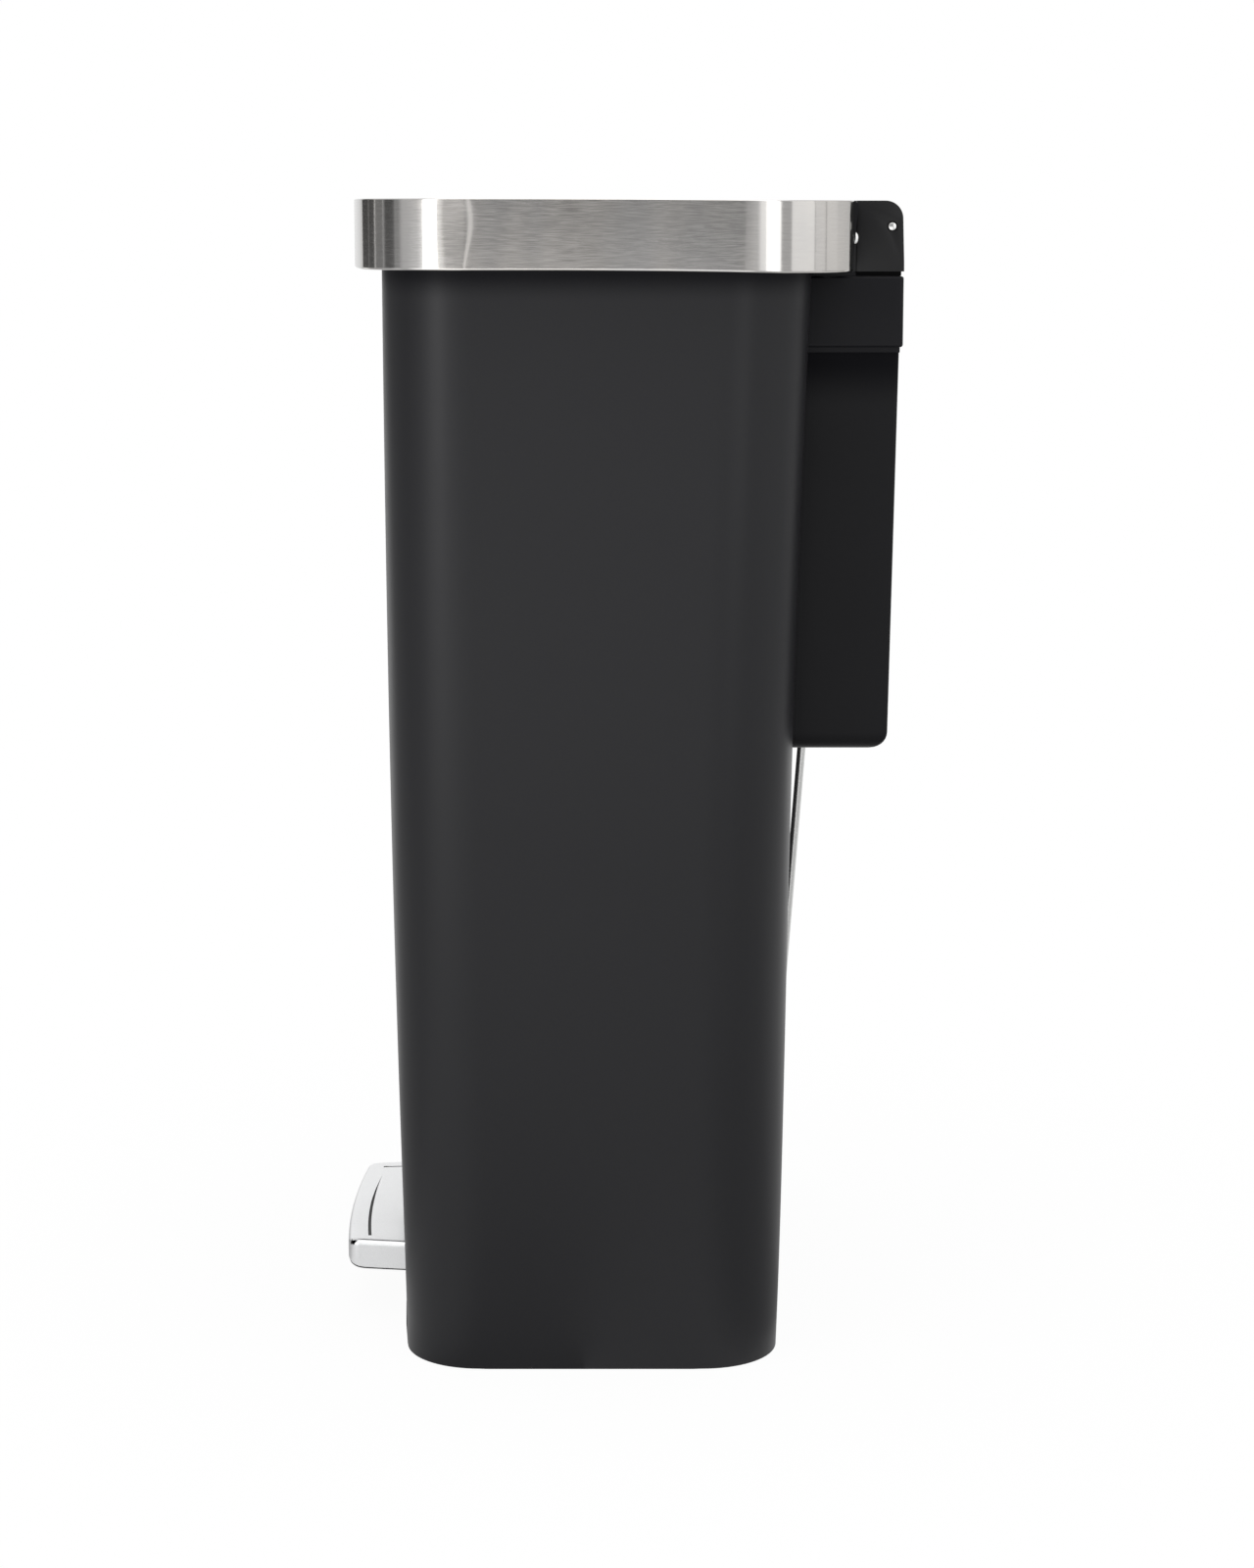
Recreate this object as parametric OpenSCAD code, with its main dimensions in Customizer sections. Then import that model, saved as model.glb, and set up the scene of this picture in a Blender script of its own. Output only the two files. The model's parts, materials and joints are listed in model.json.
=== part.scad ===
// Rectangular pedal trash can: tapered moulded body, steel rim that flips up, lid on a
// rear hinge, liner pocket behind, and a pedal that lifts the lid through a rod.
// Millimetres. The origin is the middle of the footprint on the floor, the front faces -Y.

/* [Overall] */
// Height from the floor to the top of the rim
can_h = 650; // [620:5:680]
// Width of the body just under the rim
body_top_w = 380; // [370:2:400]
// Depth of the body just under the rim
body_top_d = 241.7; // [236:0.5:250]

/* [Body] */
// Thickness of the moulded wall
wall = 2.5; // [2:0.1:3]
// How far each side leans in from the rim to the floor
side_taper = 14; // [8:1:18]
// How far the front leans in from the rim to the floor
front_taper = 7.2; // [4:0.4:9]
// How far the back leans in from the rim to the floor
back_taper = 14; // [11:0.5:16]
// How far the back bows away from a straight slope
back_belly = 8; // [4:1:9]
// How full the back is above its foot
low_bulge = 21; // [0:1:24]
// Radius of the body's four upright corners
corner_r = 49; // [42:1:54]
// Radius of the shallow curve across the front
front_curve_r = 930; // [800:10:1200]
// How much that radius grows down to the foot
front_flattening = 370; // [0:10:500]
// Height of the raised bin floor over the pedal works
floor_z = 84; // [82:1:90]
// Radius of the edge round the foot of the body
foot_edge_r = 1.6; // [1:0.1:1.8]

/* [Rim] */
// Height of the steel band
band_h = 37; // [34:1:40]
// Thickness of the steel band
band_t = 1; // [0.8:0.1:1.2]
// How far the rim stands out beyond the body's sides
side_overhang = 15; // [13:0.5:17]
// How far the rim stands out beyond the body's front
front_overhang = 14.5; // [13:0.5:17]
// How far the rim stands out beyond the body's back
back_overhang = 21.7; // [20:0.5:23]
// Radius of the rim's corners in plan
rim_corner_r = 61; // [56:1:64]
// How wide the band's top edge is turned in
top_return = 5; // [3.5:0.5:5.5]

/* [Lid] */
// Gap between the lid and the rim's inner lip
lid_gap = 1.8; // [1.4:0.1:2.2]
// Thickness of the lid's top plate
lid_t = 2.6; // [2.2:0.1:3]
// Depth of the skirt round the lid
lid_skirt = 26.6; // [22:0.2:27]
// Rise of the lid's crown in the middle
lid_crown = 0.9; // [0:0.1:1.2]
// How far the pedal opens the lid
lid_open = 75; // [70:1:78]

/* [Rear hinge] */
// Width of the hinge block
block_w = 231; // [220:1:236]
// Depth of the hinge block from front to back
block_d = 29.1; // [28.5:0.1:31]
// Height of the hinge block
block_h = 38.65; // [36:0.05:39]
// Radius along the block's top rear edge
block_r = 9.8; // [8:0.1:13]
// Diameter of the lid's hinge pin
hinge_pin_d = 4.8; // [4:0.1:5.5]
// Distance from the hinge pin's axis to the block's back
hinge_pin_back = 6.3; // [6:0.1:7]
// Diameter of the rim's pivot pins
pivot_pin_d = 4; // [3:0.1:4.5]
// Diameter of the rim pivot pins' heads
pivot_head_d = 6.5; // [6:0.1:7.5]
// Radial clearance of every pin in its bore
pin_play = 0.05; // [0.03:0.01:0.08]

/* [Liner pocket] */
// Height of the housing above the liner pocket
housing_h = 38.4; // [34:0.2:42]
// Height of the pocket below the housing's lower edge
pocket_h = 225.3; // [180:0.1:240]
// Wall of the housing and the pocket
pocket_wall = 2.2; // [1.8:0.1:2.6]
// How far the pocket's back leans in towards its foot
pocket_taper = 3.5; // [1:0.5:6]
// Radius along the pocket's lower edge
pocket_foot_r = 9; // [5:0.5:12]

/* [Pedal works] */
// Diameter of the lifting rod
rod_d = 5; // [4:0.1:5.4]
// Width of the pedal at its front
pedal_w = 160; // [140:2:166]
// How far the pedal stands out in front of the body's foot
pedal_reach = 33.75; // [28:0.25:36]
// Height of the pedal's tread above the floor
pedal_z = 45.4; // [44:0.2:46]
// Height of the pedal's turned-down edge
pedal_skirt = 17; // [14:0.5:18]
// Thickness of the pedal's steel cap
pedal_t = 1.2; // [1:0.1:1.5]
// Thickness of the lever's steel plate
lever_t = 2.5; // [2:0.1:3]
// Diameter of the lever's pivot pin
lever_pin_d = 6; // [5:0.1:6.5]
// How far the lever turns when the pedal is pressed
pedal_travel = 13; // [12:0.5:14]
// Diameter of the lid damper's cylinder
damper_d = 22; // [18:0.5:24]

/* [Hidden] */

$fn = 40;
big = 1000;
corner_steps = 8;
bow_steps = 4;
seat = 0.3;          // clearance between pieces that rest against each other

// Body
body_h = can_h - band_h + 1;
foot_z = 2.5;
base_w = body_top_w - 2 * side_taper;
base_d = body_top_d - front_taper - back_taper;
front_top = -base_d / 2 - front_taper;
back_top = base_d / 2 + back_taper;
front_power = 2.3;
edge_steps = 3;
body_levels = 12;

// Rim, measured as insets from the rim's outer outline
rim_w = body_top_w + 2 * side_overhang;
rim_front = front_top - front_overhang;
rim_back = back_top + back_overhang;
rim_z = can_h - band_h;
frame_gap = 0.3;
frame_wall = 2;
frame_in = band_t + frame_gap;
frame_z = body_h + 3.6;
web_t = 2.3;
web_top = can_h - band_t - frame_gap;
lip_in = 7.4;
lip_wall = 1.8;
lip_drop = 14.6;
lid_in = lip_in + lid_gap;
lip_relief = 1.4;    // extra room behind the lid, whose back edge swings out as it opens
rim_end_x = block_w / 2 + 9.5;      // where the steel band ends on the back
rim_gate_x = block_w / 2 + 3;       // the frame's ends stand this far from the middle
end_cap_back = rim_back + 4.4;
end_cap_d = 9.4;

// Lid
lid_back = rim_back - 15;
lid_top = can_h - 1.4;
lid_corner_back_r = 55;
skirt_wall = 2.2;
skirt_z = lid_top - lid_skirt;
apron_w = block_w - 11;
apron_back = rim_back - 0.8;
panel_z = skirt_z + 1.5;
panel_border = 36;
bumper_r = 3;
bumper_front_x = 60;
bumper_back_x = 130;
lobe_back = 21;      // where the crank arm starts to widen, in front of the pin

// Hinge
block_front = rim_back + 1;
block_back = block_front + block_d;
block_top = can_h - 0.75;
block_z = block_top - block_h;
block_wall = 2.5;
cheek_t = 4;
pin_y = block_back - hinge_pin_back;
pin_z = can_h - 14.7;
pivot_y = rim_back + 3.4;
pivot_z = can_h - 21;
crank_r = 24.7;      // the rod hangs this far from the lid's pin, level with it at half open
crank_y = pin_y - crank_r * cos(lid_open / 2);
crank_z = pin_z - crank_r * sin(lid_open / 2);
rod_rise = 2 * crank_r * sin(lid_open / 2);
crank_eye_r = rod_d / 2 + 2.1;
pin_eye_r = hinge_pin_d / 2 + 2.6;
arm_x = 60;
arm_w = 12;
crank_x = 3.6;
crank_w = 4.4;
arm_play = 1.5;
bracket_t = 2.6;
bracket_top = lid_top - lid_t - 0.05;
bracket_front = lid_back - 26;

// Shelf of the collar that carries the hinge block
flange_t = 3;
flange_in = 4.3;
flange_back = rim_back - 13;
shelf_z = block_z - 3;
shelf_w = block_w - 4;
shelf_back = block_back - 1.8;
collar_in = wall + 0.3;
collar_wall = 2;
collar_drop = 14;
upstand_h = 13;
upstand_in = 5;
upstand_t = 2;

// Liner pocket and its housing
housing_top = shelf_z - seat;
housing_z = housing_top - housing_h;
housing_back = block_back;
housing_r = 2.5;
ledge = 2.2;
pocket_back = housing_back - pocket_wall - seat;
pocket_half = block_w / 2 - pocket_wall - seat;
pocket_z = housing_z - pocket_h;
pocket_top = housing_top - pocket_wall - 2;
pocket_floor = 2.5;
tunnel_half = 9;
window_half = 40;
window_mid = 60;
window_h = 56;
window_z = pocket_top - 100;

// Lever and rod
lever_pin_z = 30;
hook_y = base_d / 2 - 16.25;
hook_z = 38;
lever_arm = (rod_rise + (hook_z - lever_pin_z) * (1 - cos(pedal_travel))) / sin(pedal_travel);
lever_pin_y = hook_y - lever_arm;
web_z = 40;
lever_half = 36;
tail_half = 16;
tail_y = hook_y + 10;
flange_drop = 17;
bend_y = 112.7;
bend_z = 110;
rod_lean = (crank_y - bend_y) / (crank_z - bend_z);
rod_swing = 9.7;
bend_swell = 0.06;   // the rod is a shade fuller where it is bent
rod_hook_top = 10;
rod_hook_low = tail_half + 3;
slot_fore = 3.3;
slot_aft = 5.3;
slot_play = 1.1;
channel_half = 8;
pedal_front = -base_d / 2 - pedal_reach;
pedal_back = -base_d / 2 + 10;
pedal_r = 8;
pedal_edge_r = 4;
pedal_curve_r = 900;
pedal_flare = 4;
opening_half = pedal_w / 2 + pedal_flare + 4;
opening_z = 8;
opening_top = pedal_z + 6.6;
tread_slot = 1.9;
tread_in = 12.7;

// Damper
damper_y = lever_pin_y + 75.5;
damper_z = 3;
damper_h = 29;
piston_d = 5;
knob_r = 5.5;
bush_d = 10;
tower_x = 40;
tower_w = 10;

// ---------- Outlines ----------

function arc(cx, cy, r, a0, a1, n = corner_steps) =
    [for (i = [0:n]) let(a = a0 + (a1 - a0) * i / n) [cx + r * cos(a), cy + r * sin(a)]];

// Right half of a rounded rectangle with a bowed front, from the middle of the front to the back
function half_outline(hw, front, back, rf, rb, curve_r, back_x) =
    let(
        lean = asin((hw - rf) / (curve_r - rf)),
        corner_y = front + curve_r - sqrt(pow(curve_r - rf, 2) - pow(hw - rf, 2))
    )
    concat(
        [for (i = [0:bow_steps - 1]) let(a = lean * i / bow_steps)
            [curve_r * sin(a), front + curve_r - curve_r * cos(a)]],
        arc(hw - rf, corner_y, rf, lean - 90, 0),
        arc(hw - rb, back - rb, rb, 0, 90),
        [[back_x, back]]
    );

function left_of(half) = [for (i = [len(half) - 1:-1:1]) [-half[i][0], half[i][1]]];

// Closed outline, anticlockwise from above
function closed(half) = concat(
    [for (p = half) p],
    [for (i = [len(half) - 2:-1:1]) [-half[i][0], half[i][1]]]
);

// Open outline, from the left end of the back round the front to the right end
function open_u(half) = concat(left_of(half), half);

function rim_half(inset, back_x = 0) = half_outline(
    rim_w / 2 - inset, rim_front + inset, rim_back - inset, rim_corner_r - inset,
    rim_corner_r - 1 - inset, front_curve_r + front_overhang - inset, back_x
);

function lid_half(inset, relief = 0) = half_outline(
    rim_w / 2 - lid_in - inset, rim_front + lid_in + inset, lid_back + relief - inset,
    rim_corner_r - lid_in - inset, lid_corner_back_r - inset,
    front_curve_r + front_overhang - lid_in - inset, 0
);

function flange_half(inset) = half_outline(
    rim_w / 2 - flange_in - inset, rim_front + flange_in + inset, flange_back - inset,
    rim_corner_r - flange_in - inset, rim_corner_r - 11 - inset,
    front_curve_r + front_overhang - flange_in - inset, 0
);

// The body's taper at a height: 0 at its top, 1 at the floor
function down(z) = 1 - z / body_h;

function body_front(z) = front_top + front_taper * pow(max(down(z), 0), front_power);

function body_back(z) =
    back_top - (back_taper + back_belly) * down(z) + back_belly * pow(down(z), 2)
        + low_bulge * pow(down(z), 4) * (1 - down(z));

function body_half(z, inset) = half_outline(
    body_top_w / 2 - side_taper * down(z) - inset, body_front(z) + inset, body_back(z) - inset,
    corner_r - inset, corner_r - inset, front_curve_r + front_flattening * pow(max(down(z), 0), 3) - inset, 0
);

function pedal_half(inset) =
    let(
        half = pedal_w / 2 - inset,
        r = pedal_r - inset,
        curve_r = pedal_curve_r - inset,
        lean = asin((half - r) / (curve_r - r)),
        corner_y = pedal_front + inset + curve_r
            - sqrt(pow(curve_r - r, 2) - pow(half - r, 2))
    )
    concat(
        [for (i = [0:bow_steps - 1]) let(a = lean * i / bow_steps)
            [curve_r * sin(a), pedal_front + inset + curve_r - curve_r * cos(a)]],
        arc(half - r, corner_y, r, lean - 90, 0, 5),
        [[half + pedal_flare, pedal_back + (inset > 0 ? 5 : 0)], [0, pedal_back + (inset > 0 ? 5 : 0)]]
    );

// Outline of the pocket at a height, with its lower edge rounded
function foot_round(z, z0, r) = z >= z0 + r ? 0 : r - sqrt(r * r - pow(r - (z - z0), 2));

function pocket_lean(z) = z > housing_z ? 0 : (housing_z - z) / pocket_h;

function pocket_outline(z, inset, z0, r) =
    let(
        e = inset + foot_round(z, z0, r),
        half = pocket_half - 2.2 * pocket_lean(z) - e,
        back = pocket_back - pocket_taper * pocket_lean(z) - e,
        c = max(housing_r - inset, 1)
    )
    concat(
        [[-half, back_top - 40], [half, back_top - 40]],
        arc(half - c, back - c, c, 0, 90, 4),
        arc(-half + c, back - c, c, 90, 180, 4)
    );

// Centre line of the rod's straight stretch
function rod_y(z) = bend_y + rod_lean * (z - bend_z);

// ---------- Solids from outlines ----------

function slab_faces(n, m) = [for (k = [0:m - 2], i = [0:n - 1]) let(j = (i + 1) % n)
    each [[k * n + i, (k + 1) * n + i, (k + 1) * n + j], [k * n + i, (k + 1) * n + j, k * n + j]]];

// Solid through closed outlines, one at each height
module loft(outlines, heights) {
    n = len(outlines[0]);
    m = len(heights);
    points = [for (k = [0:m - 1], p = outlines[k]) [p[0], p[1], heights[k]]];
    caps = [[for (i = [0:n - 1]) i], [for (i = [n - 1:-1:0]) (m - 1) * n + i]];
    polyhedron(points, concat(slab_faces(n, m), caps));
}

// Solid that carries a closed profile along an open outline; paths[j] belongs to profile point j
module sweep_open(paths, heights) {
    n = len(paths[0]);
    m = len(heights);
    points = [for (j = [0:m - 1], p = paths[j]) [p[0], p[1], heights[j]]];
    sides = [for (j = [0:m - 1], i = [0:n - 2]) let(k = (j + 1) % m)
        each [[j * n + i, k * n + i, k * n + i + 1], [j * n + i, k * n + i + 1, j * n + i + 1]]];
    caps = [[for (j = [m - 1:-1:0]) j * n], [for (j = [0:m - 1]) j * n + n - 1]];
    polyhedron(points, concat(sides, caps));
}

module ring(outer, inner, z, h) {
    translate([0, 0, z]) linear_extrude(h) difference() {
        polygon(outer);
        polygon(inner);
    }
}

// Plate cut to a YZ profile, centred on x
module side_plate(profile, x, w) {
    translate([x - w / 2, 0, 0]) rotate([90, 0, 90]) linear_extrude(w) polygon(profile);
}

module x_rod(y, z, r, x0, x1) {
    translate([x0, y, z]) rotate([0, 90, 0]) cylinder(r = r, h = x1 - x0);
}

module both_sides() {
    children();
    mirror([1, 0, 0]) children();
}

module box(x0, x1, y0, y1, z0, z1) {
    translate([x0, y0, z0]) cube([x1 - x0, y1 - y0, z1 - z0]);
}

// ---------- Body ----------

function levels(z0, z1, n) = [for (i = [0:n]) z0 + (z1 - z0) * i / n];

module body_form(inset, z0, z1, n, rounded = false) {
    edge = [for (i = [0:edge_steps - 1]) foot_z + foot_edge_r * (1 - cos(90 * i / edge_steps))];
    heights = rounded ? concat(edge, levels(foot_z + foot_edge_r, z1, n)) : levels(z0, z1, n);
    loft([for (z = heights)
        closed(body_half(z, inset + (rounded ? foot_round(z, foot_z, foot_edge_r) : 0)))], heights);
}

channel_top = bend_z + 160;
channel_front = hook_y - rod_swing;

module channel_profile(grow, z0) {
    rotate([90, 0, 90]) linear_extrude(2 * (channel_half + grow), center = true) polygon([
        [channel_front - grow, z0],
        [channel_front - grow, 92 + grow],
        [rod_y(140) - rod_swing - 1.2 - grow, 142 + grow],
        [rod_y(channel_top) - rod_swing - grow, channel_top + grow],
        [back_top + 10, channel_top + grow],
        [back_top + 10, z0]
    ]);
}

module liner_windows() {
    for (x = [-window_mid, window_mid])
        translate([x, back_top, window_z]) rotate([90, 0, 0]) hull() {
            for (s = [-1, 1], t = [-1, 1])
                translate([s * (window_half - 12), t * (window_h / 2 - 12), -10])
                    cylinder(r = 12, h = 40, $fn = 24);
        }
}

boss_places = [[base_w / 2 - 10, -40], [base_w / 2 - 10, 50], [-base_w / 2 + 10, -40], [-base_w / 2 + 10, 50]];

module outer_body() {
    color([0.2, 0.2, 0.21]) difference() {
        body_form(0, foot_z, body_h, body_levels, rounded = true);
        difference() {
            body_form(wall, floor_z + wall, body_h + 1, body_levels);
            channel_profile(wall, floor_z);
        }
        difference() {
            body_form(wall, foot_z - 1, floor_z, 3);
            for (p = boss_places) translate([p[0], p[1], foot_z + 3]) cylinder(r = 7, h = floor_z);
        }
        channel_profile(0, floor_z - 4);
        box(-opening_half, opening_half, front_top - 20, front_top + front_taper + 30, opening_z, opening_top);
        liner_windows();
        for (p = boss_places) translate([p[0], p[1], foot_z]) cylinder(r = 1.7, h = 16);
        for (x = [-housing_screw_x, housing_screw_x])
            translate([x, back_top + 5, housing_screw_z]) rotate([90, 0, 0]) cylinder(r = 2.3, h = 20);
    }
}

// ---------- Base ----------

pad_r = 18;
pad_t = 1.5;
plate_t = foot_z;
pad_places = [for (x = [-1, 1], y = [-68, 68]) [x * (base_w / 2 - 50), y]];

module base_plate() {
    rib_top = 12;
    color([0.13, 0.13, 0.14]) difference() {
        union() {
            linear_extrude(plate_t) polygon(closed(body_half(foot_z, 1)));
            difference() {
                linear_extrude(rib_top) polygon(closed(body_half(foot_z, wall + 0.5)));
                translate([0, 0, plate_t]) linear_extrude(rib_top)
                    polygon(closed(body_half(foot_z, wall + 2.5)));
                box(-opening_half - 2, opening_half + 2, -base_d, -base_d / 2 + 40, opening_z - 1, rib_top + 1);
                for (p = boss_places) translate([p[0], p[1], plate_t]) cylinder(r = 9, h = 40);
            }
            for (s = [-1, 1]) bearing_tower(s);
            translate([0, damper_y, 0]) cylinder(r = damper_d / 2 + 3, h = damper_z + 5);
            for (x = [-80, 80]) box(x - 1, x + 1, -base_d / 2 + 45, base_d / 2 - 20, 1, 9);
        }
        translate([0, damper_y, damper_z]) cylinder(r = damper_d / 2 + pin_play, h = 20);
        for (p = pad_places) translate([p[0], p[1], -1]) cylinder(r = pad_r + 0.1, h = 1 + pad_t);
        for (p = boss_places) {
            translate([p[0], p[1], -1]) cylinder(r = 1.9, h = 20);
            translate([p[0], p[1], -1]) cylinder(r = 4.2, h = 2.2);
        }
        x_rod(lever_pin_y, lever_pin_z, bush_d / 2 + pin_play, -tower_x - tower_w - 1, tower_x + tower_w + 1);
    }
}

// Upright that holds one bush of the lever's pin
module bearing_tower(s) {
    x = s * (tower_x + tower_w / 2);
    foot = 16;
    top_r = 9;
    profile = concat(
        [[lever_pin_y - foot, 1], [lever_pin_y + foot, 1]],
        arc(lever_pin_y, lever_pin_z, top_r, 15, 165)
    );
    side_plate(profile, x, tower_w);
}

module floor_pads() {
    color([0.09, 0.09, 0.09]) for (p = pad_places) translate([p[0], p[1], 0])
        cylinder(r = pad_r, h = pad_t - 0.05);
}

module base_screws() {
    color([0.6, 0.6, 0.62]) for (p = boss_places) translate([p[0], p[1], 0.3]) {
        cylinder(r = 3.8, h = 0.9);
        cylinder(r = 1.65, h = 15);
    }
}

// ---------- Collar on the body's top ----------

module top_collar() {
    skirt_z0 = body_h - collar_drop;
    hole = closed(body_half(skirt_z0, collar_in + collar_wall));
    web_y = body_back(body_h) + seat;
    color([0.12, 0.12, 0.13]) difference() {
        union() {
            ring(closed(body_half(skirt_z0, collar_in)), hole, skirt_z0, collar_drop + 1);
            ring(closed(flange_half(0)), hole, body_h, flange_t);
            difference() {
                ring(closed(rim_half(upstand_in)), closed(rim_half(upstand_in + upstand_t)),
                    body_h + 1, flange_t + upstand_h - 1);
                box(-big, big, rim_back - 60, big, 0, big);
            }
            box(-shelf_w / 2, shelf_w / 2, web_y, web_y + 3, shelf_z, body_h + 1);
            difference() {
                box(-shelf_w / 2, shelf_w / 2, web_y, shelf_back, shelf_z, shelf_z + 3);
                box(-4.5, 4.5, crank_y - 9.7, crank_y + 3.6, shelf_z - 1, shelf_z + 4);
            }
        }
        for (x = [-block_screw_x, block_screw_x])
            translate([x, block_screw_y, shelf_z - 1]) cylinder(r = 1.8, h = 5);
    }
}

// ---------- Hinge block ----------

block_screw_x = 34;
block_screw_y = pin_y - 10;

function block_profile(inset) =
    let(
        r = block_r - inset,
        z1 = block_top - inset,
        y1 = block_back - inset,
        front_r = 3
    )
    concat(
        [[y1 + 0.5, block_z], [y1 + 0.5, block_z + 3], [y1, block_z + 12]],
        arc(y1 - r, z1 - r, r, 0, 90),
        arc(block_front + front_r, z1 - front_r, front_r, 90, 180, 4),
        [[block_front, block_z]]
    );

module hinge_block() {
    inner = [for (p = block_profile(block_wall)) [p[0] < block_front + 4 ? block_front - 5 : p[0],
        p[1] < block_z + 1 ? block_z - 1 : p[1]]];
    color([0.1, 0.1, 0.11]) difference() {
        union() {
            difference() {
                side_plate(block_profile(0), 0, block_w);
                side_plate(inner, 0, block_w - 2 * cheek_t);
            }
            for (x = [-85, -30, 30, 85]) pin_web(x);
            for (x = [-block_screw_x, block_screw_x])
                translate([x, block_screw_y, block_z]) cylinder(r = 4.5, h = 16);
        }
        for (x = [-arm_x - arm_w / 2, arm_x + arm_w / 2]) top_slot(x, arm_w / 2 + arm_play);
        top_slot(0, crank_x + crank_w + 3.4);
        x_rod(pin_y, pin_z, hinge_pin_d / 2 + pin_play, -block_w, block_w);
        x_rod(pivot_y, pivot_z, pivot_pin_d / 2 + pin_play, -block_w, block_w);
        for (x = [-block_screw_x, block_screw_x])
            translate([x, block_screw_y, block_z - 1]) cylinder(r = 1.5, h = 14);
    }
}

// Opening that a hinge arm swings up through, down over the back to below the pin
module top_slot(x, half) {
    box(x - half, x + half, block_front - 5, block_back + 5, pin_z - 6, block_top + 5);
}

// Inner rib that props the hinge pin
module pin_web(x) {
    y0 = pin_y - 7;
    side_plate([
        [y0, block_z], [block_back - 1, block_z], [block_back - 1, block_top - block_r],
        [block_back - block_r, block_top - 1], [y0, block_top - 1]
    ], x, 3);
}

module lid_hinge_pin() {
    half = block_w / 2 + 0.6;
    r = hinge_pin_d / 2;
    color([0.75, 0.75, 0.77]) rotate([90, 0, 90]) translate([pin_y, pin_z, -half])
        rotate_extrude() polygon([
            [0, 0], [r - 0.5, 0], [r, 0.5], [r, 2 * half - 0.5], [r - 0.5, 2 * half], [0, 2 * half]
        ]);
}

ear_x = block_w / 2 - cheek_t - 7.5;
ear_w = 6;

module rim_pivot_pins() {
    r = pivot_pin_d / 2;
    head_r = pivot_head_d / 2;
    x0 = ear_x - 1;
    x1 = block_w / 2 + 0.2;
    color([0.75, 0.75, 0.77]) both_sides() translate([0, pivot_y, pivot_z]) rotate([0, 90, 0])
        rotate_extrude() polygon([
            [0, x0], [r, x0], [r, x1], [head_r, x1], [head_r, x1 + 0.6], [head_r - 1, x1 + 1.4], [0, x1 + 1.6]
        ]);
}

// ---------- Liner pocket ----------

housing_screw_x = 80;
housing_screw_z = housing_z + 14;

module housing_outline(inset) {
    half = block_w / 2 - inset;
    back = housing_back - inset;
    c = max(housing_r - inset, 1);
    polygon(concat(
        [[-half, back_top - 40], [half, back_top - 40]],
        arc(half - c, back - c, c, 0, 90, 6),
        arc(-half + c, back - c, c, 90, 180, 6)
    ));
}

module rear_housing() {
    color([0.1, 0.1, 0.11]) difference() {
        union() {
            difference() {
                union() {
                    translate([0, 0, housing_z]) linear_extrude(housing_h) housing_outline(0);
                    translate([0, 0, housing_z - ledge]) linear_extrude(ledge + 1) housing_outline(ledge - 0.6);
                }
                translate([0, 0, housing_z - 10]) linear_extrude(housing_h + 10 - pocket_wall)
                    housing_outline(pocket_wall);
            }
            for (x = [-housing_screw_x, housing_screw_x])
                translate([x, back_top + 14, housing_screw_z]) rotate([90, 0, 0]) cylinder(r = 5, h = 40);
            for (x = [-housing_screw_x, housing_screw_x])
                box(x - 1, x + 1, back_top - 20, back_top + 12, housing_screw_z, housing_top - 1);
        }
        body_form(-seat, 500, body_h + 30, 8);
        box(-4.5, 4.5, rod_y(housing_top) - 9.7, rod_y(housing_top) + 3.6, housing_top - 8, big);
        for (x = [-housing_screw_x, housing_screw_x])
            translate([x, back_top + 11, housing_screw_z]) rotate([90, 0, 0]) cylinder(r = 1.6, h = 40);
    }
}

module housing_screws() {
    y_face = body_back(housing_screw_z) - wall;
    color([0.6, 0.6, 0.62]) for (x = [-housing_screw_x, housing_screw_x])
        translate([x, y_face - 0.4, housing_screw_z]) rotate([-90, 0, 0]) {
            cylinder(r = 1.5, h = 13);
            translate([0, 0, -1.8]) cylinder(r = 4, h = 1.8);
        }
}

module pocket_form(inset, z0, r) {
    heights = concat(
        [for (i = [0:3]) z0 + r * (1 - cos(22.5 * i))],
        [z0 + r, (z0 + housing_z) / 2, housing_z, pocket_top + (inset > 0 ? 5 : 0)]
    );
    loft([for (z = heights) pocket_outline(z, inset, z0, r)], heights);
}

module liner_pocket() {
    low = pocket_z + pocket_floor;
    color([0.09, 0.09, 0.1]) difference() {
        pocket_form(0, pocket_z, pocket_foot_r);
        difference() {
            pocket_form(pocket_wall, low, pocket_foot_r - pocket_wall);
            rod_tunnel(tunnel_half + 2, 2, low - 1);
        }
        rod_tunnel(tunnel_half, 0, pocket_z - 1);
        body_form(-seat, pocket_z - 20, body_h, 10);
        for (x = [-housing_screw_x, housing_screw_x])
            box(x - 22, x + 22, back_top - 20, back_top + 16, housing_screw_z - 8, big);
    }
}

// Space that the rod needs on its way up through the pocket
module rod_tunnel(half, grow, z0) {
    z1 = pocket_top + 10;
    rotate([90, 0, 90]) linear_extrude(2 * half, center = true) polygon([
        [back_top - 60, z0], [rod_y(z0) + 6 + grow, z0], [rod_y(z1) + 6 + grow, z1], [back_top - 60, z1]
    ]);
}

// ---------- Lid ----------

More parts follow.
